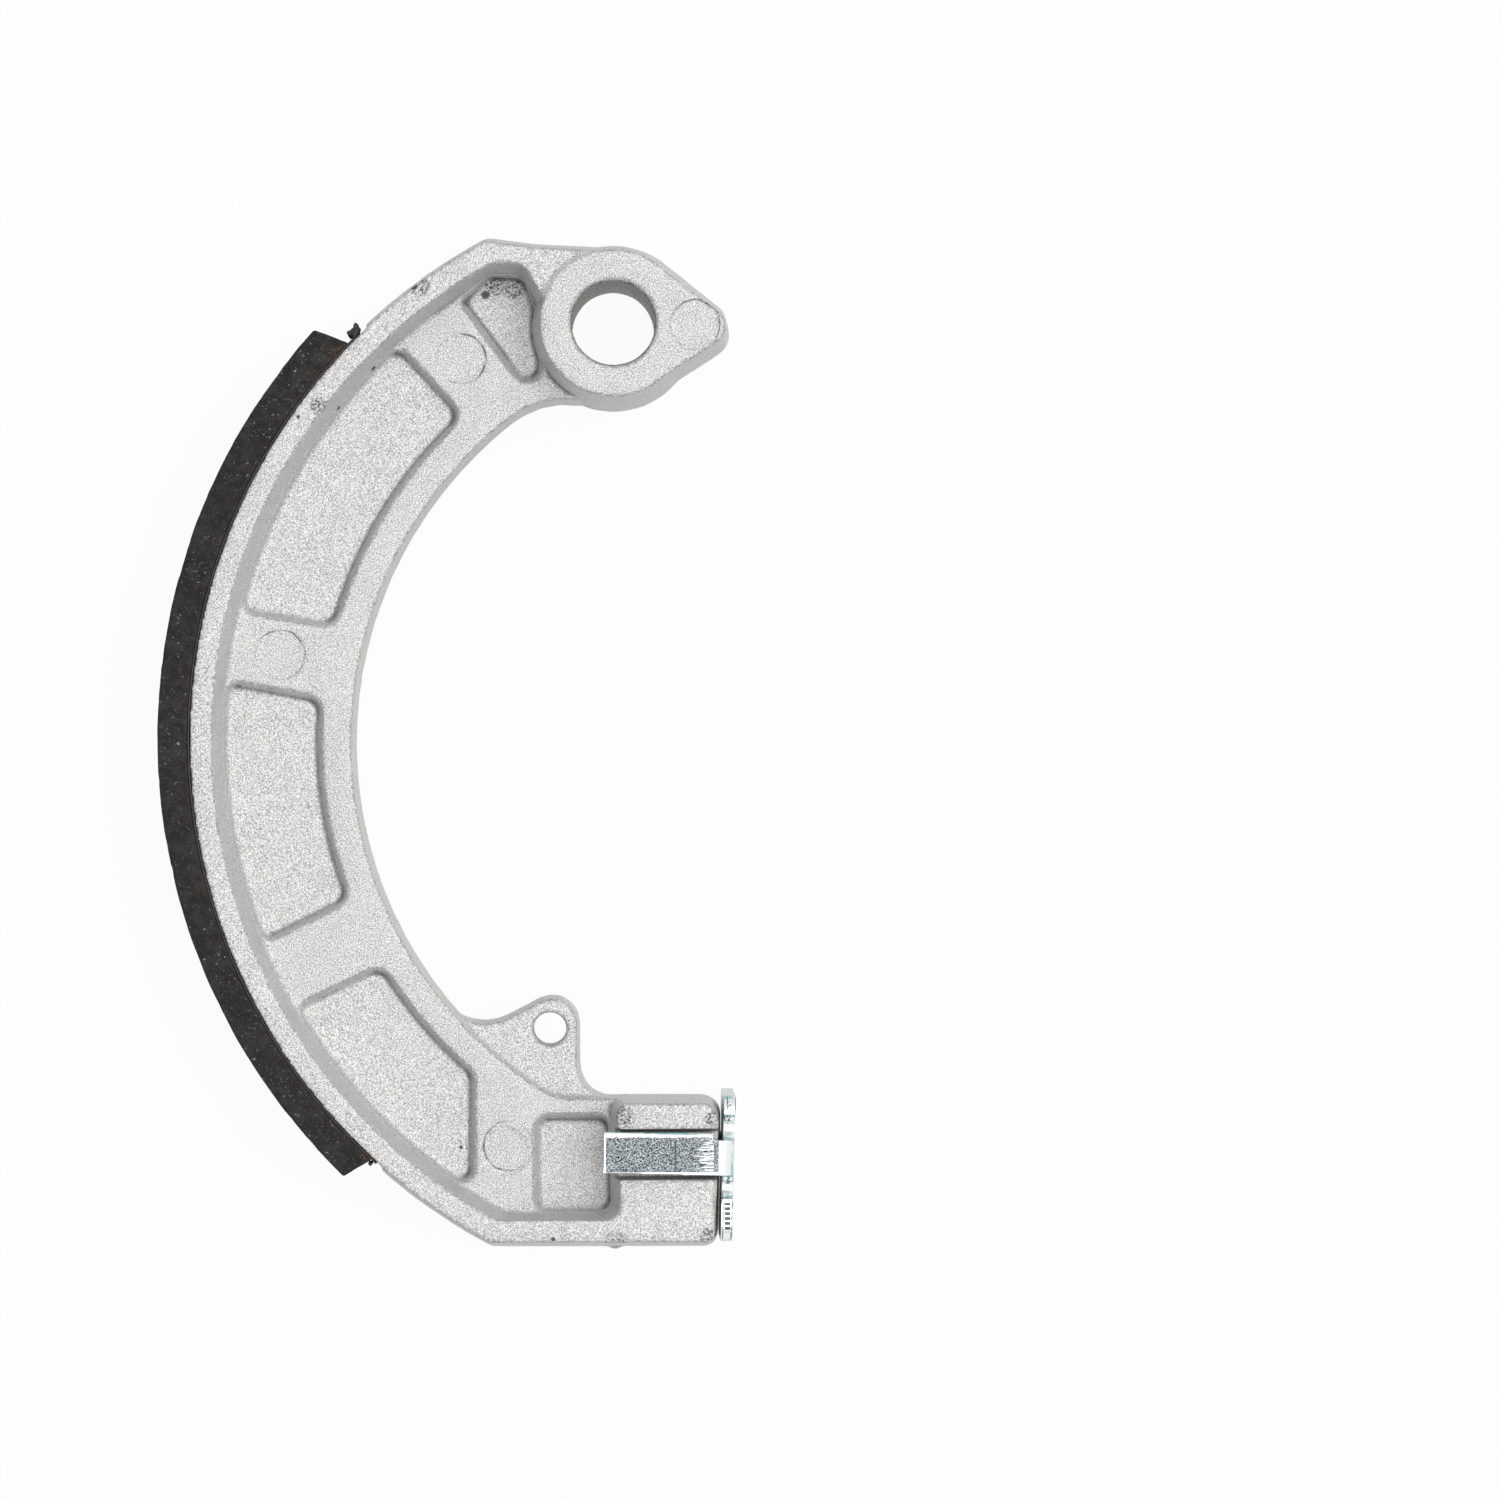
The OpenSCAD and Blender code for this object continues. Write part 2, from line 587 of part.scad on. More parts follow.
module sheet_outline(r, t) {
    right = plate_gap + sheet_t - t;
    top = fold_top - t;
    low = shoe_w - top;
    difference() {
        translate([-tab_l, low]) square([tab_l + right, top - low]);
        for (s = [0, 1])
            translate([right - r, s ? low - 1 : top - r]) square([r + 1, r + 1]);
    }
    for (z = [low + r, top - r]) translate([right - r, z]) circle(r = r, $fn = 48);
}

shoe_casting();
friction_lining();
bond_line();
cam_end_cap();
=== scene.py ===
"""Looks of a drum brake shoe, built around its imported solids.

The shoe lies on its far side face with the anchor bore at the origin and Z across the drum.
Every length is in metres; values that are easier to read in millimetres are multiplied by MM.
"""

import functools
import itertools
import math

import bmesh
import bpy
import numpy as np
from bpy.props import FloatProperty, FloatVectorProperty, IntProperty, PointerProperty
from mathutils import Matrix, Vector


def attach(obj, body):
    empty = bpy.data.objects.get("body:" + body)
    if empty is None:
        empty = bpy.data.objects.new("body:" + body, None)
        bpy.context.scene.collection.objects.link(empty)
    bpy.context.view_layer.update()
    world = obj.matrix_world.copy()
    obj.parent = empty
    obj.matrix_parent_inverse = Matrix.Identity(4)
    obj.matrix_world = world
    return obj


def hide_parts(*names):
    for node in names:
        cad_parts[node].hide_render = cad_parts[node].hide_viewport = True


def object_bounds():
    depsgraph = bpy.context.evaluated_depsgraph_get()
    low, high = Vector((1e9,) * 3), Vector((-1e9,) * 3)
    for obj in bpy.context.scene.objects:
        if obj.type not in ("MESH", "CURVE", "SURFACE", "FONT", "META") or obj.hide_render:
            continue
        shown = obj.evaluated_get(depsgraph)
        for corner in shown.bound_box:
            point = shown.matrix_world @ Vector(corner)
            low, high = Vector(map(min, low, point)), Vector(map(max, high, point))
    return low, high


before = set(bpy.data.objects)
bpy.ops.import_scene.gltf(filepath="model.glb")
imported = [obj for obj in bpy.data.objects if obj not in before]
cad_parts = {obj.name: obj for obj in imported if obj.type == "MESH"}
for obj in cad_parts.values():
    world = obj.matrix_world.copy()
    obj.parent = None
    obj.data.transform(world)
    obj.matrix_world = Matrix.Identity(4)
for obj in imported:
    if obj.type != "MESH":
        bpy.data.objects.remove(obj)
cad_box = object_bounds()

bl_info = {
    "name": "Drum brake shoe",
    "version": (1, 0, 0),
    "blender": (4, 5, 0),
    "location": "3D View > Sidebar > Brake shoe",
    "description": "Adds the finished pieces of a drum brake shoe around its solids",
    "category": "Object",
}

MM = 0.001
SHOE_WIDTH = 24 * MM
DRUM_CENTRE = np.array([18.95, -51.0]) * MM
DRUM_RADIUS = 75 * MM

# The seat of the lining: its centre lies a little off the drum's
SEAT_CENTRE = DRUM_CENTRE - np.array([0.95, 0.28]) * MM
SEAT_RADIUS = 70.1 * MM
BOND_THICKNESS = 0.15 * MM

# Angles of the lining from its middle up and down to its ends, and the slants of those ends
LINING_UP = math.radians(42)
LINING_DOWN = math.radians(46)
SLANT_UP = math.radians(21.4)
SLANT_DOWN = math.radians(15.4)

# The middle of the cam end's face, its tilt, and the middle of the tabs above that of the face
CAM_END = SEAT_CENTRE - np.array([4.75, 53.56]) * MM
CAM_TILT = math.radians(1.5)
TAB_MIDDLE = 2.66 * MM
TAB_WIDTH = 5.45 * MM

# What is left of the gate at the lower edge of the rim
GATE = np.array([0.2, -113.6, 12]) * MM


# Numpy helpers


def hashed(cell, seed):
    """A number from 0 to 1 for each whole-number cell, from products of its three indices and folded bits."""
    x, y, z = ((cell[..., k] & 0xFFFFFFFF).astype(np.uint32) for k in range(3))
    h = x * np.uint32(374761393) + y * np.uint32(668265263) + z * np.uint32(2246822519)
    h = h + np.uint32(seed * 3266489917 & 0xFFFFFFFF)
    h = (h ^ (h >> np.uint32(13))) * np.uint32(1274126177)
    return (h ^ (h >> np.uint32(16))) / 4294967295


def value_noise(points, size, seed):
    """Smooth noise from -1 to 1: hashed numbers at lattice corners `size` apart, blended by 3t^2 - 2t^3."""
    scaled = points / size
    cell = np.floor(scaled).astype(np.int64)
    t = scaled - cell
    t = t * t * (3 - 2 * t)
    total = np.zeros(points.shape[:-1])
    for corner in itertools.product((0, 1), repeat=3):
        weight = np.prod(np.where(corner, t, 1 - t), axis=-1)
        total += weight * hashed(cell + np.array(corner), seed)
    return 2 * total - 1


def smooth_step(x, zero, one):
    """0 up to the value `zero`, 1 from the value `one` on, and 3t^2 - 2t^3 between them."""
    t = np.clip((x - zero) / (one - zero), 0, 1)
    return t * t * (3 - 2 * t)


def on_circle(centre, radius, angle):
    """Points at the given angles on a circle: centre + radius (cos angle, sin angle)."""
    return centre + radius * np.stack([np.cos(angle), np.sin(angle)], axis=-1)


def arc(centre, radius, start, end):
    """An arc as a function of u from 0 to 1: the circle's point at start + (end - start) u."""
    return lambda u: on_circle(centre, radius, start + (end - start) * u)


def ray_hit(start, angle, centre, radius):
    """Where a ray from `start` at `angle` first meets a circle, from the smaller root of the quadratic."""
    along = np.array([math.cos(angle), math.sin(angle)])
    gap = centre - start
    ahead = gap @ along
    return start + along * (ahead - math.sqrt(radius**2 - gap @ gap + ahead**2))


def grid_faces(rows, columns):
    """Quads between the points of a grid whose last column joins the first."""
    i, j = np.meshgrid(np.arange(rows - 1), np.arange(columns), indexing="ij")
    k = (j + 1) % columns
    quads = [i * columns + j, i * columns + k, (i + 1) * columns + k, (i + 1) * columns + j]
    return np.stack(quads, axis=-1).reshape(-1, 4)


def closed_loft(rings):
    """A closed skin through rings of points, with a fan of triangles from each end ring to its middle."""
    rows, columns, _ = rings.shape
    middles = np.stack([rings[0].mean(0), rings[-1].mean(0)])
    vertices = np.concatenate([rings.reshape(-1, 3), middles])
    here = np.arange(columns)
    after = np.roll(here, -1)
    last = (rows - 1) * columns
    start = np.stack([np.full(columns, last + columns), after, here], axis=-1)
    end = np.stack([np.full(columns, last + columns + 1), last + here, last + after], axis=-1)
    return vertices, grid_faces(rows, columns).tolist() + start.tolist() + end.tolist()


def rounded_rectangle(width, height, radius, across, up, bend=3):
    """Points round a rectangle with round corners.

    Its sides have `across` and `up` steps, and each corner has `bend`.
    """
    w, h = width / 2 - radius, height / 2 - radius
    middles = np.array([[w, h], [-w, h], [-w, -h], [w, -h]])
    turns = [np.linspace(k, k + 1, bend + 1) * math.pi / 2 for k in range(4)]
    corners = [on_circle(middles[k], radius, turns[k]) for k in range(4)]
    parts = []
    for k, steps in enumerate((across, up, across, up)):
        side = np.linspace(corners[k][-1], corners[(k + 1) % 4][0], steps + 1)
        parts += [corners[k], side[1:-1]]
    return np.concatenate(parts)


# Insets of the rings that fill a block's ends, and its least corner radius, as shares of its thickness
END_FILL = np.array([0.42, 0.25])
LEAST_CORNER = 0.02


def arc_block(inner, outer, thickness, edge, step, across):
    """A curved block between two arcs, as a closed loft of rounded rectangles.

    The point at u along the block, a share a of its thickness and a height z is
    (1 - a) inner(u) + a outer(u) at z. The end rings shrink by the edge radius along a
    quarter circle and then towards the middle of the end.
    """
    length = np.linalg.norm(np.diff(outer(np.linspace(0, 1, 200)), axis=0), axis=1).sum()
    turn = np.linspace(0, math.pi / 2, 4)
    shrink = np.concatenate([END_FILL * thickness, edge * (1 - np.sin(turn))])
    inside = np.concatenate([0 * END_FILL, edge * (1 - np.cos(turn))]) / length
    middle = np.linspace(edge / length, 1 - edge / length, int(length / step))[1:-1]
    places = np.concatenate([inside, middle, 1 - inside[::-1]])
    insets = np.concatenate([shrink, np.zeros(len(middle)), shrink[::-1]])
    least, up = LEAST_CORNER * thickness, int(SHOE_WIDTH / step)
    sections = np.stack([
        rounded_rectangle(thickness - 2 * d, SHOE_WIDTH - 2 * d, max(edge - d, least), across, up)
        for d in insets
    ])
    share = sections[..., :1] / thickness + 0.5
    flat = (1 - share) * inner(places)[:, None] + share * outer(places)[:, None]
    return closed_loft(np.concatenate([flat, sections[..., 1:] + SHOE_WIDTH / 2], axis=-1))


def lump(centre, radii, turn, seed, rows=18, columns=28, uneven=0.25):
    """An uneven drop: an ellipsoid turned about Z, each point moved in or out by a share of noise.

    Before the turn its points are radii (1 + uneven noise) (sin p cos t, sin p sin t, cos p).
    """
    tip, bump_size = 0.04, 0.7
    polar = np.linspace(tip, math.pi - tip, rows)[:, None]
    round_z = np.linspace(0, 2 * math.pi, columns, endpoint=False)[None]
    way = np.stack([
        np.sin(polar) * np.cos(round_z),
        np.sin(polar) * np.sin(round_z),
        np.cos(polar) + 0 * round_z,
    ], axis=-1)
    way = way * (1 + uneven * value_noise(way, bump_size, seed))[..., None] * radii
    c, s = math.cos(turn), math.sin(turn)
    return closed_loft(way @ np.array([[c, s, 0], [-s, c, 0], [0, 0, 1]]) + centre)


def end_frame(points):
    """Distances out of the cam end's face and up along it: (dx cos - dy sin, dx sin + dy cos) of its tilt."""
    dx, dy = points[..., 0] - CAM_END[0], points[..., 1] - CAM_END[1]
    c, s = math.cos(CAM_TILT), math.sin(CAM_TILT)
    return dx * c - dy * s, dx * s + dy * c


# Mesh helpers

# Points of a solid's loose triangles that lie this close are one point
MERGE_DISTANCE = 0.001 * MM


def read_points(mesh, what="vertices", name="co"):
    """The places of a mesh's vertices, or their normals, as rows of three."""
    data = np.empty(3 * len(mesh.vertices))
    getattr(mesh, what).foreach_get(name, data)
    return data.reshape(-1, 3)


def read_normals(mesh):
    """The directions of a mesh's skin at its vertices."""
    return read_points(mesh, "vertex_normals", "vector")


def move_points(mesh, points):
    """Puts a mesh's vertices at new places."""
    mesh.vertices.foreach_set("co", points.ravel())
    mesh.update()


def roughen(mesh, layers, mask=1.0):
    """Presses the skin in along its normals by depth times 0 to 1, for each (depth, size, seed) of noise."""
    points = read_points(mesh)
    depth = sum(d * (0.5 + 0.5 * value_noise(points, size, seed)) for d, size, seed in layers)
    move_points(mesh, points - read_normals(mesh) * (depth * mask)[:, None])


def make_mesh(name, shells):
    """One mesh from closed shells, each (vertices, faces), with faces turned outwards."""
    vertices, faces = [], []
    for points, shell_faces in shells:
        start = sum(len(v) for v in vertices)
        vertices.append(points)
        faces += [[start + k for k in face] for face in shell_faces]
    mesh = bpy.data.meshes.new(name)
    mesh.from_pydata(np.concatenate(vertices).tolist(), [], faces)
    work = bmesh.new()
    work.from_mesh(mesh)
    bmesh.ops.recalc_face_normals(work, faces=work.faces)
    work.to_mesh(mesh)
    work.free()
    return mesh


def modified(mesh, *steps):
    """The mesh after some modifiers, each (kind, settings)."""
    source = bpy.data.objects.new("source", mesh)
    bpy.context.scene.collection.objects.link(source)
    for kind, values in steps:
        modifier = source.modifiers.new(kind.title(), kind)
        for key, value in values.items():
            setattr(modifier, key, value)
    result = bpy.data.meshes.new_from_object(source.evaluated_get(bpy.context.evaluated_depsgraph_get()))
    bpy.data.objects.remove(source)
    return result


def mark_bends(mesh):
    """Stores how sharply the skin bends at each vertex, from -1 in a groove to 1 on an edge.

    It is the mean over the vertex's edges of (n2 - n1).(p2 - p1) / |p2 - p1|^2, with p the places and n the
    normals at the two ends, times half a millimetre and evened out among neighbours twice.
    """
    ends = np.empty(2 * len(mesh.edges), dtype=np.int32)
    mesh.edges.foreach_get("vertices", ends)
    a, b = ends.reshape(-1, 2).T
    size = len(mesh.vertices)
    points, normals = read_points(mesh), read_normals(mesh)
    span = points[b] - points[a]
    turn = ((normals[b] - normals[a]) * span).sum(1) / np.maximum((span**2).sum(1), 1e-12)
    count = np.maximum(np.bincount(ends, minlength=size), 1)
    bend = (np.bincount(a, turn, size) + np.bincount(b, turn, size)) / count
    for _ in range(2):
        bend = 0.5 * bend + 0.5 * (np.bincount(a, bend[b], size) + np.bincount(b, bend[a], size)) / count
    layer = mesh.attributes.new("bend", "FLOAT", "POINT")
    layer.data.foreach_set("value", np.clip(bend * 0.5 * MM, -1, 1).astype(np.float32))


def read_bends(mesh):
    """The marks that mark_bends stored, one for each vertex."""
    bends = np.empty(len(mesh.vertices), dtype=np.float32)
    mesh.attributes["bend"].data.foreach_get("value", bends)
    return bends


def softened_copy(node, voxel, passes, triangles):
    """A copy of a solid's mesh with round edges and marked bends, thinned out to a number of triangles.

    Its vertices are merged, and its skin is rebuilt on a lattice of voxels and smoothed.
    """
    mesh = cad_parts[node].data.copy()
    work = bmesh.new()
    work.from_mesh(mesh)
    bmesh.ops.remove_doubles(work, verts=work.verts, dist=MERGE_DISTANCE)
    work.to_mesh(mesh)
    work.free()
    mesh.materials.clear()
    mesh = modified(
        mesh,
        ("REMESH", {"mode": "VOXEL", "voxel_size": voxel}),
        ("SMOOTH", {"factor": 0.5, "iterations": passes}),
    )
    mark_bends(mesh)
    share = triangles / (len(mesh.loops) - 2 * len(mesh.polygons))
    return modified(mesh, ("DECIMATE", {"ratio": min(1, share)}))


def add_piece(name, mesh, material, node):
    """Puts a finished mesh into the scene in place of a CAD node, held inside the box of the solids."""
    move_points(mesh, np.clip(read_points(mesh), np.array(cad_box[0]), np.array(cad_box[1])))
    piece = bpy.data.objects.new(name, mesh)
    bpy.context.scene.collection.objects.link(piece)
    mesh.materials.clear()
    mesh.materials.append(material)
    mesh.shade_smooth()
    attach(piece, "root")
    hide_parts(node)


# Material helpers


class Graph:
    """The nodes of a material or a world, written as calls: a method adds a node and returns its output."""

    def __init__(self, owner):
        owner.use_nodes = True
        self.owner = owner
        self.tree = owner.node_tree
        self.tree.nodes.clear()

    @functools.cached_property
    def place(self):
        """The object's own coordinates."""
        return self.add("ShaderNodeTexCoord").outputs["Object"]

    def add(self, kind, inputs=(), **settings):
        """A node with its settings, and with some inputs set or linked by name or number."""
        node = self.tree.nodes.new(kind)
        for key, value in settings.items():
            setattr(node, key, value)
        for key, value in dict(inputs).items():
            self.set(node.inputs[key], value)
        return node

    def set(self, socket, value):
        """Links an output to a socket, or gives the socket a value."""
        if isinstance(value, bpy.types.NodeSocket):
            self.tree.links.new(value, socket)
        else:
            socket.default_value = value

    def math(self, operation, *values):
        """One operation on numbers."""
        return self.add("ShaderNodeMath", dict(enumerate(values)), operation=operation).outputs[0]

    def vector(self, operation, *values, result=0):
        """One operation on vectors."""
        node = self.add("ShaderNodeVectorMath", dict(enumerate(values)), operation=operation)
        return node.outputs[result]

    def times(self, *values):
        """The product of some numbers."""
        return functools.reduce(functools.partial(self.math, "MULTIPLY"), values)

    def most(self, *values):
        """The largest of some numbers."""
        return functools.reduce(functools.partial(self.math, "MAXIMUM"), values)

    def scaled(self, value, factor, plus):
        """A number times a factor, plus another."""
        return self.math("MULTIPLY_ADD", value, factor, plus)

    def remap(self, value, low, high, to_low=0.0, to_high=1.0, smooth=True):
        """Runs from `to_low` to `to_high` as the value goes from `low` to `high`, and stays level beyond."""
        kind = "SMOOTHSTEP" if smooth else "LINEAR"
        inputs = {"Value": value, "From Min": low, "From Max": high, "To Min": to_low, "To Max": to_high}
        return self.add("ShaderNodeMapRange", inputs, interpolation_type=kind).outputs["Result"]

    def band(self, value, low, high, soft):
        """1 between two values and 0 outside them, with soft borders."""
        above, below = self.remap(value, low - soft, low + soft), self.remap(value, high + soft, high - soft)
        return self.times(above, below)

    def rise(self, place, low, high):
        """From 0 to 1 between two places in millimetres."""
        return self.remap(place, low * MM, high * MM)

    def strip(self, place, low, high, soft):
        """1 between two places in millimetres, with soft borders."""
        return self.band(place, low * MM, high * MM, soft * MM)

    def noise(self, size, detail=2.0, roughness=0.5, distortion=0.0, vector=None):
        """Noise from 0 to 1 with features of about that size."""
        inputs = {"Vector": vector or self.place, "Scale": 1 / size, "Detail": detail}
        inputs.update({"Roughness": roughness, "Distortion": distortion})
        return self.add("ShaderNodeTexNoise", inputs).outputs["Fac"]

    def wander(self, size, detail, reach):
        """Noise from -reach to reach."""
        return self.scaled(self.noise(size, detail), 2 * reach, -reach)

    def stretched(self, x, y, z):
        """Object coordinates times three factors: a small one draws a pattern out along its axis."""
        return self.vector("MULTIPLY", self.place, (x, y, z))

    def spots(self, spots, ragged=0.5):
        """1 inside ragged spots, each (x, y, z, radius) in millimetres, and 0 outside them."""
        shift = self.wander(0.5 * MM, 3, ragged)
        total = 0.0
        for x, y, z, radius in spots:
            away = self.vector("DISTANCE", self.place, (x * MM, y * MM, z * MM), result="Value")
            away = self.math("ADD", self.math("DIVIDE", away, radius * MM), shift)
            total = self.most(self.remap(away, 1.15, 0.7), total)
        return total

    def bend(self):
        """The mark of grooves and edges: -1 to 1."""
        return self.add("ShaderNodeAttribute", attribute_name="bend").outputs["Fac"]

    def axis(self, which, normal=False):
        """One coordinate of the place, or of the surface's own direction."""
        source = self.add("ShaderNodeTexCoord").outputs["Normal"] if normal else self.place
        return self.add("ShaderNodeSeparateXYZ", {0: source}).outputs[which]

    def upward(self):
        """How far the surface faces straight up or down: 0 on a wall, 1 on a flat."""
        return self.math("ABSOLUTE", self.axis(2, normal=True))

    def mix(self, factor, a, b):
        """Colour `a` where the factor is 0, and `b` where it is 1."""
        node = self.add("ShaderNodeMix", data_type="RGBA")
        for socket, value in ((node.inputs[0], factor), (node.inputs[6], a), (node.inputs[7], b)):
            self.set(socket, (*value, 1) if isinstance(value, tuple) else value)
        return node.outputs[2]

    def shade(self, colour, factor):
        """A colour times a number."""
        return self.add("ShaderNodeVectorMath", {0: colour, "Scale": factor}, operation="SCALE").outputs[0]

    def bump(self, height, distance, strength, before=None):
        """The surface's direction with a relief pressed into it, on top of the relief before."""
        inputs = {"Height": height, "Distance": distance, "Strength": strength}
        if before:
            inputs["Normal"] = before
        return self.add("ShaderNodeBump", inputs).outputs["Normal"]

    def finish(self, **sockets):
        """Ends the material in one shader with these inputs, and returns it."""
        names = {"colour": "Base Color", "specular": "Specular IOR Level"}
        inputs = {names.get(k, k.title()): v for k, v in sockets.items()}
        shader = self.add("ShaderNodeBsdfPrincipled", inputs)
        self.add("ShaderNodeOutputMaterial", {"Surface": shader.outputs[0]})
        return self.owner


def material_graph(name):
    """The empty graph of a new material."""
    return Graph(bpy.data.materials.new(name))


# Cast aluminium

# Dark pores of the casting: x, y, z and radius in millimetres
PORES = [
    (-15.9, 4.0, 15.1, 0.62),
    (-24.5, 4.5, 24, 0.5),
    (-23.6, 5.2, 24, 0.33),
    (-29.71, -5.18, 17.05, 0.38),
    (-34.05, -10.13, 17.05, 0.33),
    (-34.6, -9.46, 24, 0.26),
    (-38.7, -11.6, 24, 0.26),
    (-18.87, -101.75, 15.4, 0.26),
    (-7.4, -112.6, 23.8, 0.3),
    (13.6, 1.6, 23.2, 0.3),
]
PORE_COLOUR = (0.03, 0.028, 0.025)

# Rough, pitted places, in the same form
PITTED = [
    (-23.9, 4.5, 23.8, 1.4),
    (-14.6, 5.2, 15.3, 1.4),
    (-12.2, 4.6, 15.3, 1.3),
    (13.4, 1.6, 23.4, 1.4),
    (1.2, -97.6, 23.8, 1.5),
    (12.2, -97.8, 23.6, 1.1),
    (12.1, -112.4, 23.4, 1.5),
    (0.3, -113.2, 13, 1.7),
    (0.3, -113.2, 23.8, 1.5),
    (-9.5, 3.5, 16.5, 1.2),
    (-36.25, -10.2, 23.9, 1.1),
]

# Rings that the ejector pins left: x, y, z in millimetres, and the way to the side where painted shade of
# their step makes the line darkest
RINGS = [
    (-18.84, -4.02, 17, 0.9, 0.4),
    (-41.27, -40.7, 17, 0.5, 0.8),
    (-13.02, -101.54, 17, -0.95, -0.3),
    (10.03, -0.22, 24.4, 0.2, 0.3),
]
RING_RADIUS = 3.05 * MM

# The pocket beside the boss, where painted shade darkens the foot of its walls all round: a spot in the form
# of the pores
SHADED_POCKET = (-17, -1, 16, 6)

# The gaps above and below the tabs, where painted shade darkens the groove's walls, and their reach along the
# tabs, in millimetres
UPPER_GAP = (-99.5, -99.0)
LOWER_GAP = (-105.4, -104.9)
GAP_REACH = (0.2, 14)

# The wall of the anchor bore: distances from its axis in millimetres, and the stains on it
BORE_OUTSIDE, BORE_INSIDE = 5.6, 5.25
STAIN_DARK, STAIN_PALE = (0.1, 0.095, 0.082), (0.58, 0.56, 0.51)


def ring_lines(g):
    """1 on the thin lines round the ejector marks, broken up by noise: real marks, made darker on one side by
    painted shade of their step.
    """
    wobble = g.wander(1.2 * MM, 2, 0.15 * MM)
    total = 0.0
    for x, y, z, shade_x, shade_y in RINGS:
        offset = g.vector("SUBTRACT", g.place, (x * MM, y * MM, z * MM))
        away = g.math("SUBTRACT", g.vector("LENGTH", offset, result="Value"), RING_RADIUS)
        away = g.math("ABSOLUTE", g.math("ADD", away, wobble))
        # Painted shade: the line is darkest on its given side, where the step would be in shade
        side = g.vector("DOT_PRODUCT", offset, (shade_x, shade_y, 0), result="Value")
        line = g.times(g.rise(away, 0.16, 0.04), g.remap(side, -1.5 * MM, 2 * MM, 0.32, 1))
        total = g.most(line, total)
    return g.times(total, g.remap(g.noise(1.5 * MM, 2), 0.35, 0.6, 0.25, 1))


def grain_light(g, grain, level):
    """Brightness of the blasted skin: sharp grain, wide blotches, and fine dark lines that curl."""
    sharp = g.remap(grain, 0.36, 0.64, -1, 1, smooth=False)
    light = g.math("ADD", g.scaled(sharp, g.scaled(level, 0.18, 0.4), 1.0), g.wander(4 * MM, 3, 0.08))
    curl = g.math("ABSOLUTE", g.math("SUBTRACT", g.noise(0.28 * MM, 1, 0.5, 0.8), 0.5))
    return g.times(light, g.remap(curl, 0.0, 0.035, 0.86, 1.03))


def painted_wall_shading(g, bend):
    """Painted light and shade on walls: darker where they face -X, with a dark line of painted shade at their
    foot, and brighter at +X.
    """
    facing = g.scaled(g.axis(1, normal=True), 0.35, g.axis(0, normal=True))
    # Painted shade: a dark foot below walls that face -X, and below every wall of the pocket beside the boss
    shaded = g.most(g.remap(facing, 0.25, -0.2, 0.1, 1), g.spots([SHADED_POCKET], 0.1))
    foot = g.times(g.remap(bend, -0.12, -0.5), shaded)
    # Painted light and shade: walls that face -X are dimmed, and walls that face +X brightened
    dim = g.remap(facing, -0.35, -0.9, 1, 0.88)
    bright = g.remap(facing, 0.35, 0.9, 1, 1.1)
    return g.times(g.scaled(foot, -0.66, 1.0), dim, bright)


def painted_gap_shade(g, level):
    """Painted shade on the groove's walls beside the tabs, which darkens them."""
    y = g.axis(1)
    beside = g.most(g.strip(y, *UPPER_GAP, 0.05), g.strip(y, *LOWER_GAP, 0.05))
    beside = g.times(beside, g.strip(g.axis(0), *GAP_REACH, 0.1))
    return g.scaled(beside, g.remap(level, 0.9, 0.3, 0, -0.65), 1.0)


def stained_bore(g, base, level):
    """The colour with the stained wall of the anchor bore."""
    from_axis = g.vector("LENGTH", g.stretched(1, 1, 0), result="Value")
    bore = g.times(g.rise(from_axis, BORE_OUTSIDE, BORE_INSIDE), g.remap(level, 0.8, 0.2), 0.85)
    return g.mix(bore, base, g.mix(g.remap(g.noise(0.45 * MM, 4, 0.7), 0.36, 0.64), STAIN_DARK, STAIN_PALE))


def cast_aluminium(colour):
    """Blasted die casting: pale grey, finely grained, with painted shade at wall feet, on walls that face -X
    and beside the tabs, rough on edges, with a few pores.
    """
    g = material_graph("cast_aluminium")
    level = g.remap(g.upward(), 0.55, 0.95)
    bend = g.bend()
    rings = ring_lines(g)
    grain = g.noise(0.15 * MM, 1.5, 0.6, 0.5)
    rough = g.most(g.times(g.remap(bend, 0.12, 0.6), 0.5), g.spots(PITTED, 0.3))
    specks = g.times(g.remap(g.noise(0.3 * MM, 3, 0.7), 0.51, 0.57), rough)
    # Grain, painted light and shade on walls and beside the tabs, ejector rings and specks set the brightness
    light = g.times(
        grain_light(g, grain, level),
        painted_wall_shading(g, bend),
        painted_gap_shade(g, level),
        g.scaled(rings, -0.75, 1.0),
        g.scaled(specks, -0.82, 1.0),
    )
    base = stained_bore(g, g.shade(tuple(colour), light), level)
    base = g.mix(g.times(g.spots(PORES, 0.35), 0.92), base, PORE_COLOUR)
    normal = g.bump(g.noise(0.9 * MM, 3, 0.6), 0.05 * MM, 0.6)
    normal = g.bump(g.times(rings, -1.0), 0.08 * MM, 0.6, normal)
    normal = g.bump(g.times(specks, -1.0), 0.1 * MM, 0.7, normal)
    normal = g.bump(grain, 0.06 * MM, g.remap(level, 0, 1, 0.5, 0.9), normal)
    return g.finish(colour=base, metallic=0.3, roughness=g.remap(grain, 0.3, 0.7, 0.42, 0.62), normal=normal)


# Friction material and adhesive

# Pale specks: size in millimetres, where the noise cuts them off, and strength
SPECKS = ((0.2, 0.64, 0.55), (0.4, 0.67, 1.0))
SPECK_COLOUR = (0.36, 0.35, 0.33)

# Brown stain by the bond, between these distances from the seat in millimetres
SMEAR_OUTSIDE, SMEAR_INSIDE = 0.75, 0.25
SMEAR_COLOUR = (0.075, 0.053, 0.04)

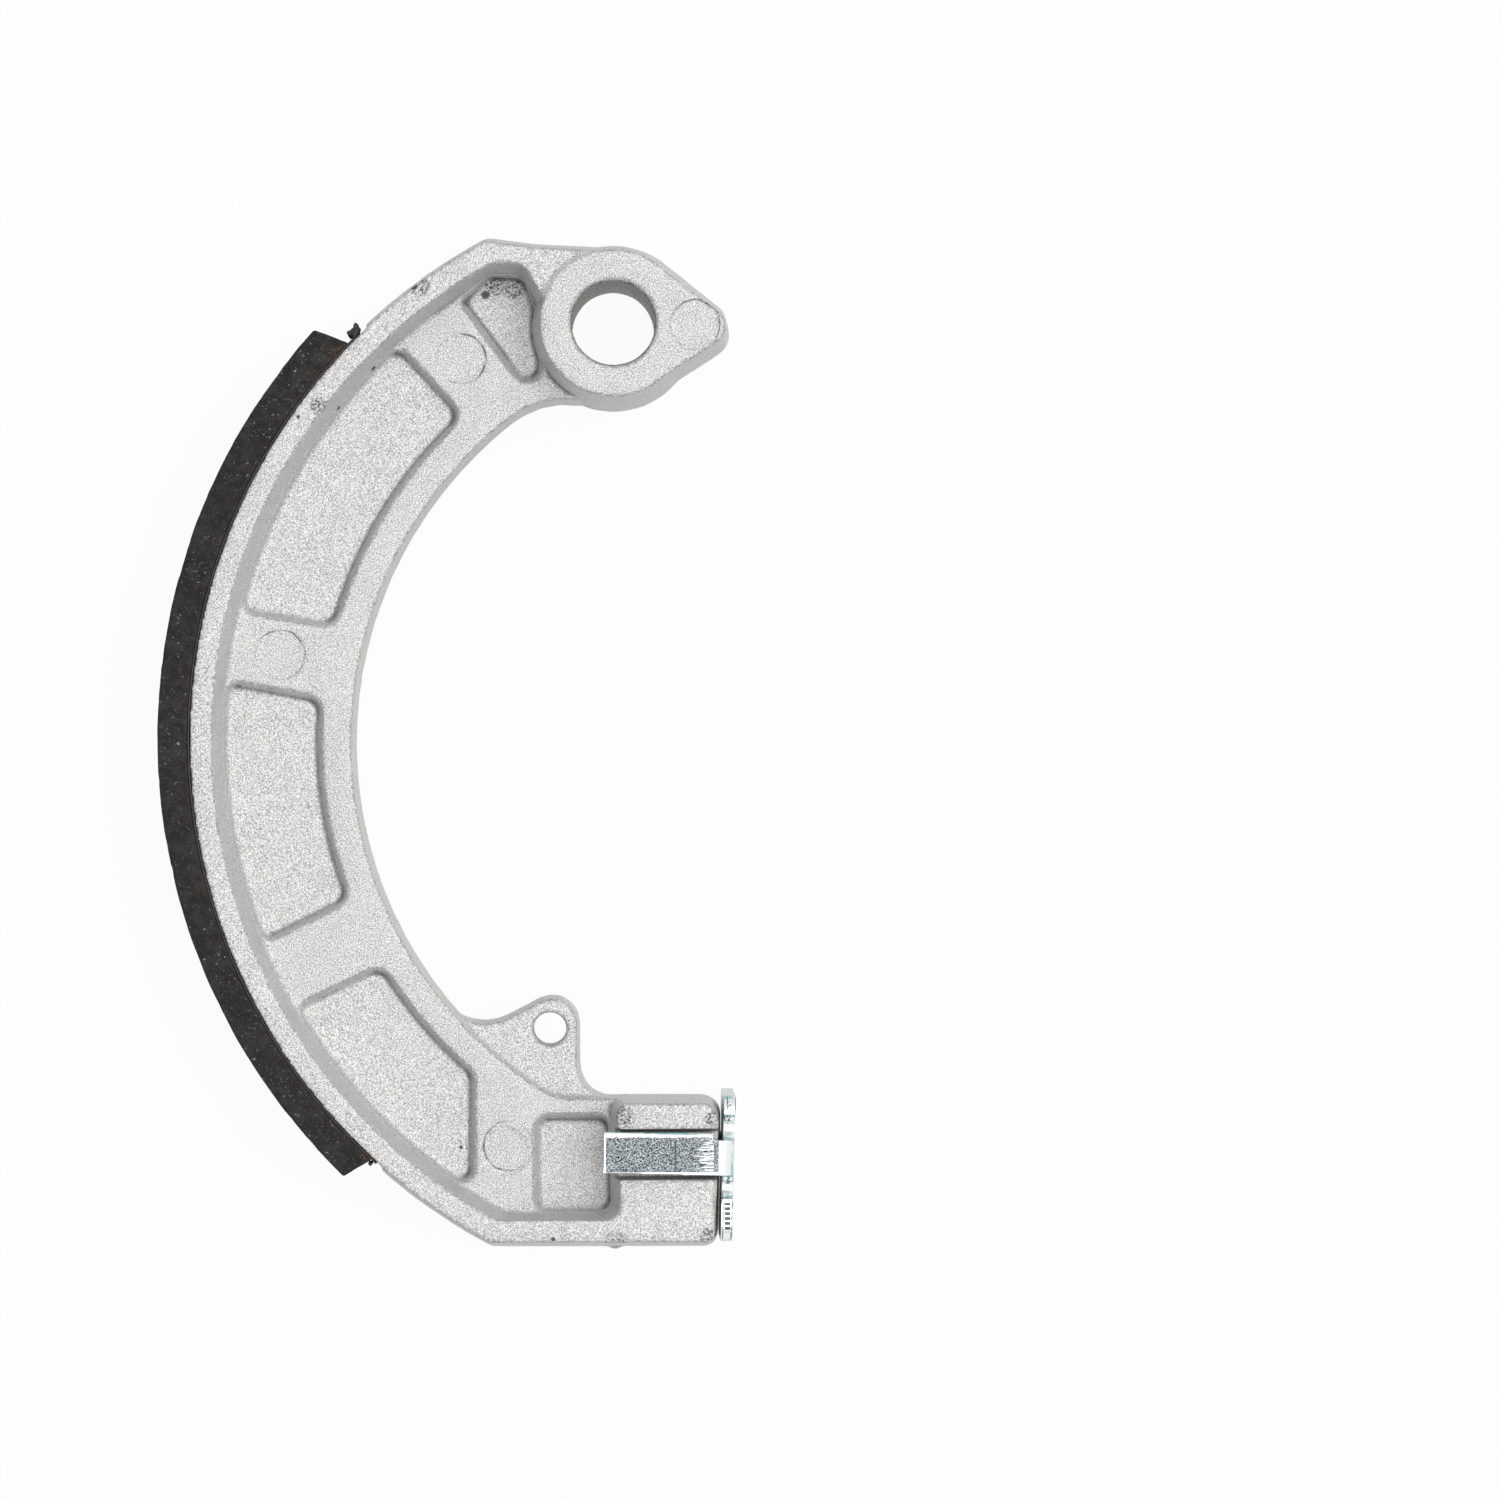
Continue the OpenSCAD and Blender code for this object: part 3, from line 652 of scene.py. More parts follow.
# Coppery streaks on the near side face: x, y, z and radius in millimetres
COPPER = [(-33.6, -4.2, 24, 1.3), (-35.8, -7.2, 24, 1.0), (-30.3, -102.2, 24, 0.6)]
COPPER_COLOUR = (0.17, 0.08, 0.045)


def friction_material(colour):
    """Moulded friction material: near black, with pale specks in patches and a few coppery streaks."""
    g = material_graph("friction_material")
    blotch = g.remap(g.noise(1.3 * MM, 4, 0.6, 0.4), 0.35, 0.7)
    base = g.mix(blotch, tuple(0.7 * c for c in colour), tuple(1.3 * c for c in colour))
    patch = g.remap(g.noise(1.6 * MM, 2), 0.35, 0.65)
    for size, cut, strength in SPECKS:
        speck = g.remap(g.noise(size * MM, 2, 0.65, 0.6), cut, cut + 0.05)
        strength = g.remap(patch, 0, 1, 0.35 * strength, strength)
        base = g.mix(g.times(speck, strength), base, SPECK_COLOUR)
    radius = g.vector("DISTANCE", g.stretched(1, 1, 0), (*SEAT_CENTRE, 0), result="Value")
    radius = g.math("ADD", radius, g.wander(0.5 * MM, 3, 0.3 * MM))
    smear = g.remap(radius, SEAT_RADIUS + SMEAR_OUTSIDE * MM, SEAT_RADIUS + SMEAR_INSIDE * MM)
    base = g.mix(g.times(smear, 0.3), base, SMEAR_COLOUR)
    copper = g.times(g.spots(COPPER, 0.8), g.remap(g.noise(0.35 * MM, 2), 0.45, 0.6), 0.7)
    base = g.mix(copper, base, COPPER_COLOUR)
    normal = g.bump(g.noise(0.35 * MM, 4, 0.7), 0.08 * MM, 0.8)
    return g.finish(colour=base, metallic=0.0, roughness=0.85, specular=0.15, normal=normal)


def adhesive(colour):
    """Cured black adhesive with a dull shine."""
    g = material_graph("adhesive")
    shade = g.remap(g.noise(0.6 * MM, 3), 0.3, 0.7, 0.6, 1.5)
    normal = g.bump(g.noise(0.3 * MM, 2), 0.05 * MM, 0.5)
    return g.finish(colour=g.shade(tuple(colour), shade), metallic=0.0, roughness=0.55, normal=normal)


# Zinc-plated steel

# Near-white serves painted highlights and reflections and bright scratches, teal a painted reflection, and
# the dark grey painted shade and reflections as well as marks
WHITE_ZINC = (0.86, 0.89, 0.9)
TEAL_REFLECTION = (0.38, 0.58, 0.59)
DARK_ZINC = (0.05, 0.065, 0.07)
PLAIN_ZINC = (0.5, 0.53, 0.54)

# Places on the cap in millimetres: X runs along the tabs from their tips to the plate, Y runs up the plate.
# Painted highlights lie on the plate past the fold, and on the tabs' tips, upper and lower edges and lip
FOLD_FROM = (12.9, 13.1)
TAB_TIP = (-0.9, -1.02)
TAB_TOP = (-100.2, -100.0)
TAB_FOOT = (-104.4, -104.5)
TAB_FLAT = (-104.4, -100.5)
TAB_LIP = (-104.72, -104.48)
# A black line of painted shade in the crease across the tab, in millimetres along X
CREASE_SHADE = (7.52, 7.76)
SCRATCHES = (9.2, 12.4)
RUNGS_X, RUNGS_Y, RUNG_STEP = (13.68, 14.42), (-111.8, -108.1), 0.6
STROKES_X, STROKES_Y = (14.0, 14.75), (-97.8, -95.7)
# Stretches in Y of painted shade in the notches beside the tab
LOWER_NOTCH_SHADE, UPPER_NOTCH_SHADE = (-106.1, -104.9), (-98.7, -97.5)

# The two dark outlines of the plate, lines of painted shade: their places along X at this Y, their slope, and
# their two stretches
OUTLINES = ((13.7, 13.84), (14.72, 14.88))
OUTLINE_Y, OUTLINE_SLOPE = -103, 0.0336
LOWER_OUTLINE, UPPER_OUTLINE = (-112.7, -107.9), (-97.4, -95.0)


def fold_scratches(g, inner):
    """1 on fine scratches along the tab, which grow denser up to the fold."""
    x = g.axis(0)
    start, end = SCRATCHES
    scratch = g.noise(0.17 * MM, 3, 0.65, 0.3, vector=g.stretched(0.07, 1, 1))
    least = g.remap(x, start * MM, end * MM, 0.68, 0.46, smooth=False)
    dense = g.remap(g.math("SUBTRACT", scratch, least), -0.01, 0.03)
    return g.times(dense, inner, g.rise(x, end, end - 0.15))


def painted_rim_highlights(g):
    """1 on painted highlights along the tab's upper edge, which is ragged, its lower edge and its tip."""
    y = g.axis(1)
    top = g.rise(g.math("ADD", y, g.wander(0.3 * MM, 2, 0.25 * MM)), *TAB_TOP)
    return g.most(top, g.rise(y, *TAB_FOOT), g.rise(g.axis(0), *TAB_TIP))


def plate_marks(g):
    """1 on the plate's dark rungs, and 0.7 on the strokes at its other end."""
    x, y = g.axis(0), g.axis(1)
    rung = g.band(g.math("FRACT", g.times(y, 1 / (RUNG_STEP * MM))), 0.08, 0.78, 0.07)
    rung = g.times(rung, g.strip(y, *RUNGS_Y, 0.2), g.strip(x, *RUNGS_X, 0.08))
    stroke = g.remap(g.noise(0.3 * MM, 2, vector=g.stretched(1, 0.3, 1)), 0.45, 0.6)
    stroke = g.times(stroke, g.strip(y, *STROKES_Y, 0.2), g.strip(x, *STROKES_X, 0.1))
    return g.most(rung, g.times(stroke, 0.7))


def plate_outlines(g, up):
    """Up to 0.95 on the two thin dark lines of painted shade along the plate, which noise thins out."""
    x, y = g.axis(0), g.axis(1)
    tilted = g.math("SUBTRACT", x, g.scaled(y, OUTLINE_SLOPE, -OUTLINE_Y * OUTLINE_SLOPE * MM))
    lines = g.most(*(g.strip(tilted, *places, 0.05) for places in OUTLINES))
    spans = g.most(g.strip(y, *LOWER_OUTLINE, 0.2), g.strip(y, *UPPER_OUTLINE, 0.1))
    thinned = g.remap(g.noise(0.8 * MM, 2), 0.38, 0.5, 0.4, 0.95)
    return g.times(lines, spans, g.remap(up, 0.2, 0.4), thinned)


def painted_bend_reflections(g, up, cloud):
    """The colour of bends, painted reflections in teal and white with dark flecks, and of upright faces,
    which are plain zinc.
    """
    # Painted reflections: teal and white bands on the bends, with dark flecks
    side = g.mix(g.remap(g.noise(1.6 * MM, 2), 0.45, 0.65), TEAL_REFLECTION, WHITE_ZINC)
    side = g.mix(g.remap(g.noise(0.7 * MM, 3), 0.64, 0.72), side, DARK_ZINC)
    streak = g.noise(0.4 * MM, 3, vector=g.stretched(1, 1, 0.15))
    rolled = g.times(cloud, g.remap(streak, 0.3, 0.7, 0.85, 1.1))
    return g.mix(g.remap(up, 0.2, 0.08), side, g.shade(PLAIN_ZINC, rolled))


def painted_notch_shade_and_lip(g, base, up):
    """The colour with painted shade in dark flecks where the plate meets the tab, and a painted white
    highlight on the lip below the tab.
    """
    x, y = g.axis(0), g.axis(1)
    off_wall = g.remap(up, 0.12, 0.3)
    # Painted shade in flecks in the notches where the plate meets the tab
    notch_shade = g.most(g.strip(y, *UPPER_NOTCH_SHADE, 0.1), g.strip(y, *LOWER_NOTCH_SHADE, 0.1))
    flecks = g.remap(g.noise(0.35 * MM, 2), 0.5, 0.58, 0, 0.8)
    base = g.mix(g.times(notch_shade, g.rise(x, 13.3, 13.5), flecks, off_wall), base, DARK_ZINC)
    # Painted highlight: a white line on the lip below the tab
    lip_highlight = g.times(g.strip(y, *TAB_LIP, 0.05), g.rise(x, 12.7, 12.4))
    return g.mix(g.times(lip_highlight, off_wall), base, WHITE_ZINC)


def zinc_plated_steel(colour):
    """Bright zinc: dark bluish grain on the tabs, painted near-white highlights on the rims and plate,
    painted teal reflections on the bends, plain walls, and painted shade in the crease, notches and grooves.
    """
    g = material_graph("zinc_plated_steel")
    at_plate = g.rise(g.axis(0), *FOLD_FROM)
    up = g.upward()
    least = g.scaled(g.math("SUBTRACT", 1.0, at_plate), 0.35, 0.55)
    level = g.remap(g.math("SUBTRACT", up, least), 0.0, 0.09)
    grain = g.noise(0.17 * MM, 2, 0.6, 0.8)
    mottle = g.remap(grain, 0.42, 0.595, -0.1, 2.35, smooth=False)
    cloud = g.remap(g.noise(1.2 * MM, 2), 0.3, 0.7, 0.88, 1.12)
    inner = g.strip(g.axis(1), *TAB_FLAT, 0.3)
    scratches = fold_scratches(g, inner)
    # Painted highlights: the tab's rims, and the plate past the fold, painted near-white where they face up
    bright = g.most(painted_rim_highlights(g), at_plate)

    flat = g.shade(tuple(colour), g.times(mottle, cloud))
    # Painted shade: a black line in the crease across the tab's flat
    flat = g.mix(g.times(g.strip(g.axis(0), *CREASE_SHADE, 0.04), inner, 0.95), flat, DARK_ZINC)
    flat = g.mix(scratches, flat, WHITE_ZINC)
    flat = g.mix(bright, flat, WHITE_ZINC)
    flat = g.mix(plate_marks(g), flat, DARK_ZINC)
    base = g.mix(level, painted_bend_reflections(g, up, cloud), flat)
    base = g.mix(plate_outlines(g, up), base, DARK_ZINC)
    base = painted_notch_shade_and_lip(g, base, up)
    # Painted shade in the sheet's grooves, from the marks of its bends
    base = g.mix(g.times(g.remap(g.bend(), -0.1, -0.6), 0.7), base, DARK_ZINC)

    normal = g.bump(grain, 0.05 * MM, g.remap(bright, 0, 1, 0.8, 0.15))
    normal = g.bump(scratches, 0.04 * MM, 0.5, normal)
    dull = g.times(level, g.remap(bright, 0, 1, 1, 0.4))
    return g.finish(colour=base, metallic=0.7, roughness=g.remap(dull, 0, 1, 0.25, 0.42), normal=normal)


# Settings a user would change


class CastingSettings(bpy.types.PropertyGroup):
    """Colour and skin of the casting"""

    colour: FloatVectorProperty(
        name="Colour", description="Mean colour of the blasted casting",
        default=(0.56, 0.556, 0.543), subtype="COLOR",
    )
    voxel: FloatProperty(
        name="Voxel", description="Lattice that the skin is rebuilt on",
        default=0.25 * MM, unit="LENGTH", precision=5,
    )
    passes: IntProperty(name="Smoothing", description="Smoothing passes, which round the edges", default=4)
    triangles: IntProperty(name="Triangles", description="Triangles left after thinning out", default=190000)
    relief: FloatProperty(
        name="Relief", description="Depth of the cast skin's waviness",
        default=0.05 * MM, unit="LENGTH", precision=5,
    )


class LiningSettings(bpy.types.PropertyGroup):
    """Colour and surface of the lining"""

    colour: FloatVectorProperty(
        name="Colour", description="Mean colour of the lining",
        default=(0.0325, 0.031, 0.0285), subtype="COLOR",
    )
    edge: FloatProperty(
        name="Edge", description="Radius of the lining's edges",
        default=0.3 * MM, unit="LENGTH", precision=5,
    )
    step: FloatProperty(
        name="Step", description="Spacing of the lining's points",
        default=0.42 * MM, unit="LENGTH", precision=5,
    )


class BondSettings(bpy.types.PropertyGroup):
    """Colour and reach of the adhesive"""

    colour: FloatVectorProperty(
        name="Colour", description="Colour of the cured adhesive",
        default=(0.012, 0.01, 0.009), subtype="COLOR",
    )
    past_end: FloatProperty(
        name="Past the end", description="How far the film runs past the lining",
        default=0.7 * MM, unit="LENGTH", precision=5,
    )


class CapSettings(bpy.types.PropertyGroup):
    """Colour and skin of the cap"""

    colour: FloatVectorProperty(
        name="Colour", description="Mean colour of the zinc",
        default=(0.152, 0.17, 0.178), subtype="COLOR",
    )
    voxel: FloatProperty(
        name="Voxel", description="Lattice that the skin is rebuilt on",
        default=0.13 * MM, unit="LENGTH", precision=5,
    )
    passes: IntProperty(name="Smoothing", description="Smoothing passes, which round the edges", default=2)
    triangles: IntProperty(name="Triangles", description="Triangles left after thinning out", default=90000)
    roll: FloatProperty(
        name="Edge roll", description="Drop of the tabs' sheared upper edge",
        default=0.42 * MM, unit="LENGTH", precision=5,
    )


class StageSettings(bpy.types.PropertyGroup):
    """Strengths of the lights"""

    key: FloatProperty(name="Key light", description="Strength of the soft key light", default=1.79)
    ambient: FloatProperty(name="Ambient", description="Brightness of the light all round", default=0.425)


GROUPS = {
    "casting": CastingSettings,
    "lining": LiningSettings,
    "bond": BondSettings,
    "cap": CapSettings,
    "stage": StageSettings,
}


def settings(name):
    """The chosen settings of a piece or of the stage."""
    return getattr(bpy.context.scene, "brake_shoe_" + name)


# Casting

# Sizes of the skin's waves, each with its seed
SKIN_WAVES = [(1.3 * MM, 3), (3.5 * MM, 4)]

# Rough edges: depth, size and seed, and the marks of a bend from which an edge is rough
EDGE_WEAR = (0.13 * MM, 0.5 * MM, 7)
EDGE_BEND = (0.1, 0.5)

# The torn gate: depth, size and seed, and the distances from its middle over which it sets in
GATE_TEAR = (0.5 * MM, 0.5 * MM, 8)
GATE_REACH = (1.6 * MM, 1.0 * MM)

# The walls of the tab's groove lean towards the tab near the side faces: the heights above the parting plane
# and the stretch along the groove over which this sets in, where each wall is, and how far it leans
LEAN_HEIGHT = (9.6 * MM, 11.4 * MM)
LEAN_START = (0.2 * MM, 1.2 * MM)
UPPER_WALL, UPPER_LEAN = (-98.2 * MM, -99.1 * MM), 0.2 * MM
LOWER_WALL, LOWER_LEAN = (-106.3 * MM, -105.3 * MM), 0.12 * MM
GROOVE_MIDDLE = (-103 * MM, -101 * MM)


def roughen_casting(mesh, relief):
    """Waves the cast skin, wears its edges and tears what is left of the gate."""
    roughen(mesh, [(relief, size, seed) for size, seed in SKIN_WAVES])
    roughen(mesh, [EDGE_WEAR], smooth_step(read_bends(mesh), *EDGE_BEND))
    from_gate = np.linalg.norm(read_points(mesh) - GATE, axis=1)
    roughen(mesh, [GATE_TEAR], smooth_step(from_gate, *GATE_REACH))


def lean_groove_walls(mesh):
    """Moves the groove's two walls towards the tab near the side faces."""
    points = read_points(mesh)
    x, y, z = points.T
    near_face = smooth_step(np.abs(z - SHOE_WIDTH / 2), *LEAN_HEIGHT) * smooth_step(x, *LEAN_START)
    above = smooth_step(y, *UPPER_WALL) * (y > GROOVE_MIDDLE[1])
    below = smooth_step(y, *LOWER_WALL) * (y < GROOVE_MIDDLE[0])
    points[:, 1] += (LOWER_LEAN * below - UPPER_LEAN * above) * near_face
    move_points(mesh, points)


class BRAKESHOE_OT_casting(bpy.types.Operator):
    """Adds the die casting with rounded edges and a faintly wavy skin"""

    bl_idname = "brake_shoe.casting"
    bl_label = "Add casting"

    def execute(self, context):
        chosen = settings("casting")
        mesh = softened_copy("shoe_casting", chosen.voxel, chosen.passes, chosen.triangles)
        roughen_casting(mesh, chosen.relief)
        lean_groove_walls(mesh)
        add_piece("casting_skin", mesh, cast_aluminium(chosen.colour), "shoe_casting")
        return {"FINISHED"}


# Lining

# The lining's inner radius, and the number of steps across its thickness
LINING_INNER_RADIUS = SEAT_RADIUS + BOND_THICKNESS
LINING_STEPS = 11

# Roughness of the moulded skin: depth, size and seed of each layer
LINING_SKIN = [(0.06 * MM, 0.9 * MM, 5), (0.08 * MM, 2.6 * MM, 6)]

# Chips along the outer edges: depth, size and seed, the noise from which there is a chip, and the distances
# from an edge over which they fade in
CHIP_DEPTH, CHIP_SIZE, CHIP_SEED = 0.3 * MM, 1.6 * MM, 9
CHIP_NOISE = (0.25, 0.7)
CHIP_REACH = (1.0 * MM, 0.2 * MM)


def lining_ends():
    """The lining's end angles on the drum circle, and where its slanted ends meet its inner circle."""
    angles = math.pi - LINING_UP, math.pi + LINING_DOWN
    runs = SLANT_UP - LINING_UP, LINING_DOWN - SLANT_DOWN
    outer = [on_circle(DRUM_CENTRE, DRUM_RADIUS, a) for a in angles]
    inner = [ray_hit(p, run, SEAT_CENTRE, LINING_INNER_RADIUS) for p, run in zip(outer, runs)]
    seat = [math.atan2(*(p - SEAT_CENTRE)[::-1]) % (2 * math.pi) for p in inner]
    return angles, seat


def chip_edges(mesh):
    """Presses chips into the lining's outer edges where noise is high."""
    points = read_points(mesh)
    off_drum = DRUM_RADIUS - np.linalg.norm(points[:, :2] - DRUM_CENTRE, axis=1)
    off_face = np.minimum(points[:, 2], SHOE_WIDTH - points[:, 2])
    at_edge = smooth_step(np.hypot(np.maximum(off_drum, 0), off_face), *CHIP_REACH)
    chips = smooth_step(value_noise(points, CHIP_SIZE, CHIP_SEED), *CHIP_NOISE) * at_edge * CHIP_DEPTH
    move_points(mesh, points - read_normals(mesh) * chips[:, None])


class BRAKESHOE_OT_lining(bpy.types.Operator):
    """Adds the friction lining as a curved block with worn edges and small chips"""

    bl_idname = "brake_shoe.lining"
    bl_label = "Add lining"

    def execute(self, context):
        chosen = settings("lining")
        outer_ends, inner_ends = lining_ends()
        inner = arc(SEAT_CENTRE, LINING_INNER_RADIUS, *inner_ends)
        outer = arc(DRUM_CENTRE, DRUM_RADIUS, *outer_ends)
        thickness = DRUM_RADIUS - LINING_INNER_RADIUS
        block = arc_block(inner, outer, thickness, chosen.edge, chosen.step, LINING_STEPS)
        mesh = make_mesh("lining_block", [block])
        chip_edges(mesh)
        roughen(mesh, LINING_SKIN)
        material = friction_material(chosen.colour)
        add_piece("lining_block", mesh, material, "friction_lining")
        return {"FINISHED"}


# Bond line

# How far the film reaches into its neighbours, its edge radius, and the spacing of its points
FILM_OVERLAP = 0.03 * MM
FILM_EDGE = 0.05 * MM
FILM_STEP = 0.4 * MM
FILM_STEPS_ACROSS = 2

# Waves of the film's side edges: depth, size and seed, and how far the lower edge stays off the floor
WAVE_DEPTH, WAVE_SIZE, WAVE_SEED = 0.07 * MM, 1.1 * MM, 11
FILM_CLEARANCE = 0.02 * MM

# Lumps of squeezed-out adhesive: place and radii in millimetres, turn in degrees, and seed
LUMPS = [
    ((-31.75, -1.25, 22.9), (0.7, 0.85, 0.8), 135, 21),
    ((-31.6, -0.5, 22.9), (0.55, 0.4, 0.6), 100, 22),
    ((-32.4, -1.25, 23.0), (0.4, 0.3, 0.4), 160, 24),
    ((-29.8, -103.25, 23.0), (0.35, 0.3, 0.6), 227, 23),
]


def adhesive_film(past_end):
    """The film between rim and lining, with wavy side edges that stay off the floor."""
    start, end = lining_ends()[1]
    past = past_end / SEAT_RADIUS
    thickness = BOND_THICKNESS + 2 * FILM_OVERLAP
    inner = arc(SEAT_CENTRE, SEAT_RADIUS - FILM_OVERLAP, start - past, end + past)
    outer = arc(SEAT_CENTRE, SEAT_RADIUS + BOND_THICKNESS + FILM_OVERLAP, start - past, end + past)
    film, faces = arc_block(inner, outer, thickness, FILM_EDGE, FILM_STEP, FILM_STEPS_ACROSS)
    wave = WAVE_DEPTH * value_noise(film, WAVE_SIZE, WAVE_SEED)
    film[:, 2] += np.where(film[:, 2] > SHOE_WIDTH / 2, wave, -wave)
    film[:, 2] = np.maximum(film[:, 2], FILM_CLEARANCE)
    return film, faces


class BRAKESHOE_OT_bond(bpy.types.Operator):
    """Adds the adhesive film with the lumps that were squeezed out at both ends"""

    bl_idname = "brake_shoe.bond"
    bl_label = "Add bond line"

    def execute(self, context):
        chosen = settings("bond")
        lumps = [
            lump(np.array(place) * MM, np.array(radii) * MM, math.radians(turn), seed)
            for place, radii, turn, seed in LUMPS
        ]
        mesh = make_mesh("bond_film", [adhesive_film(chosen.past_end), *lumps])
        add_piece("bond_film", mesh, adhesive(chosen.colour), "bond_line")
        return {"FINISHED"}


# Cam end cap

# Roughness of the sheet's skin: depth, size and seed
CAP_SKIN = [(0.02 * MM, 0.7 * MM, 31)]

# The rolled edge of the tabs: its width, where it starts beside the plate, and the heights from the parting
# plane over which it fades in, so that only the outer faces drop
ROLL_WIDTH = 0.8 * MM
ROLL_START = (0.2 * MM, 1.2 * MM)
ROLL_HEIGHT = (9.9 * MM, 11.6 * MM)


def roll_tab_edges(mesh, drop):
    """Lets the tabs' upper edges drop by the square of the way across the rolled width."""
    points = read_points(mesh)
    out, along = end_frame(points)
    across = (along - (TAB_MIDDLE + TAB_WIDTH / 2) + ROLL_WIDTH) / ROLL_WIDTH
    roll = np.clip(across, 0, 1) ** 2 * smooth_step(-out, *ROLL_START) * drop
    height = points[:, 2] - SHOE_WIDTH / 2
    points[:, 2] -= np.sign(height) * roll * smooth_step(np.abs(height), *ROLL_HEIGHT)
    move_points(mesh, points)


class BRAKESHOE_OT_cap(bpy.types.Operator):
    """Adds the folded steel cap with its sheared, rolled-over tab edges"""

    bl_idname = "brake_shoe.cap"
    bl_label = "Add cam end cap"

    def execute(self, context):
        chosen = settings("cap")
        mesh = softened_copy("cam_end_cap", chosen.voxel, chosen.passes, chosen.triangles)
        roll_tab_edges(mesh, chosen.roll)
        roughen(mesh, CAP_SKIN)
        add_piece("cap_sheet", mesh, zinc_plated_steel(chosen.colour), "cam_end_cap")
        return {"FINISHED"}


# Stage

# The floor is grey for the light that it gives off, and glows almost white where it is seen
WHITE = (1, 1, 1, 1)
FLOOR_GREY = (0.85, 0.85, 0.85, 1)
FLOOR_GLOW = 0.94
FLOOR_HALF = 1.5
FLOOR_DROP = 0.1 * MM

# The way to the light, and its spread
LIGHT_FROM = Vector((0.28, 0.1, 1.0))
LIGHT_SPREAD = math.radians(50)

# The camera's place, the point that it looks at, and its focal length and sensor in millimetres
CAMERA_PLACE = Vector((-1.62, -53.96, 893)) * MM
CAMERA_AIM = Vector((16.8, -52.5, 24)) * MM
CAMERA_LENS = 169.65
CAMERA_SENSOR = 36


def where_seen(g, full):
    """`full` for rays of the camera, of shiny and of clear surfaces, and 0 for the rest."""
    rays = g.add("ShaderNodeLightPath").outputs
    kinds = ("Is Camera Ray", "Is Glossy Ray", "Is Transmission Ray")
    return g.times(g.most(*(rays[kind] for kind in kinds)), full)


def add_world(scene, ambient):
    """A white world that is full white where it is seen, and lights the scene by `ambient`."""
    scene.world = bpy.data.worlds.new("studio")
    g = Graph(scene.world)
    dim = g.add("ShaderNodeBackground", {"Color": WHITE, "Strength": ambient}).outputs[0]
    bright = g.add("ShaderNodeBackground", {"Color": WHITE}).outputs[0]
    surface = g.add("ShaderNodeMixShader", {0: where_seen(g, 1.0), 1: dim, 2: bright}).outputs[0]
    g.add("ShaderNodeOutputWorld", {"Surface": surface})


def add_floor(scene):
    """A large square floor just under the shoe, which still takes a faint shadow."""
    g = material_graph("white_floor")
    diffuse = g.add("ShaderNodeBsdfDiffuse", {"Color": FLOOR_GREY}).outputs[0]
    glow = g.add("ShaderNodeEmission", {"Color": WHITE}).outputs[0]
    surface = g.add("ShaderNodeMixShader", {0: where_seen(g, FLOOR_GLOW), 1: diffuse, 2: glow}).outputs[0]
    g.add("ShaderNodeOutputMaterial", {"Surface": surface})
    mesh = bpy.data.meshes.new("floor")
    ways = [(-1, -1), (1, -1), (1, 1), (-1, 1)]
    corners = [(x * FLOOR_HALF, y * FLOOR_HALF, -FLOOR_DROP) for x, y in ways]
    mesh.from_pydata(corners, [], [(0, 1, 2, 3)])
    mesh.materials.append(g.owner)
    floor = bpy.data.objects.new("floor", mesh)
    scene.collection.objects.link(floor)


def add_key_light(scene, strength):
    """A wide, soft light from above."""
    key = bpy.data.lights.new("key", "SUN")
    key.energy = strength
    key.angle = LIGHT_SPREAD
    lamp = bpy.data.objects.new("key", key)
    lamp.rotation_euler = LIGHT_FROM.to_track_quat("Z", "Y").to_euler()
    scene.collection.objects.link(lamp)


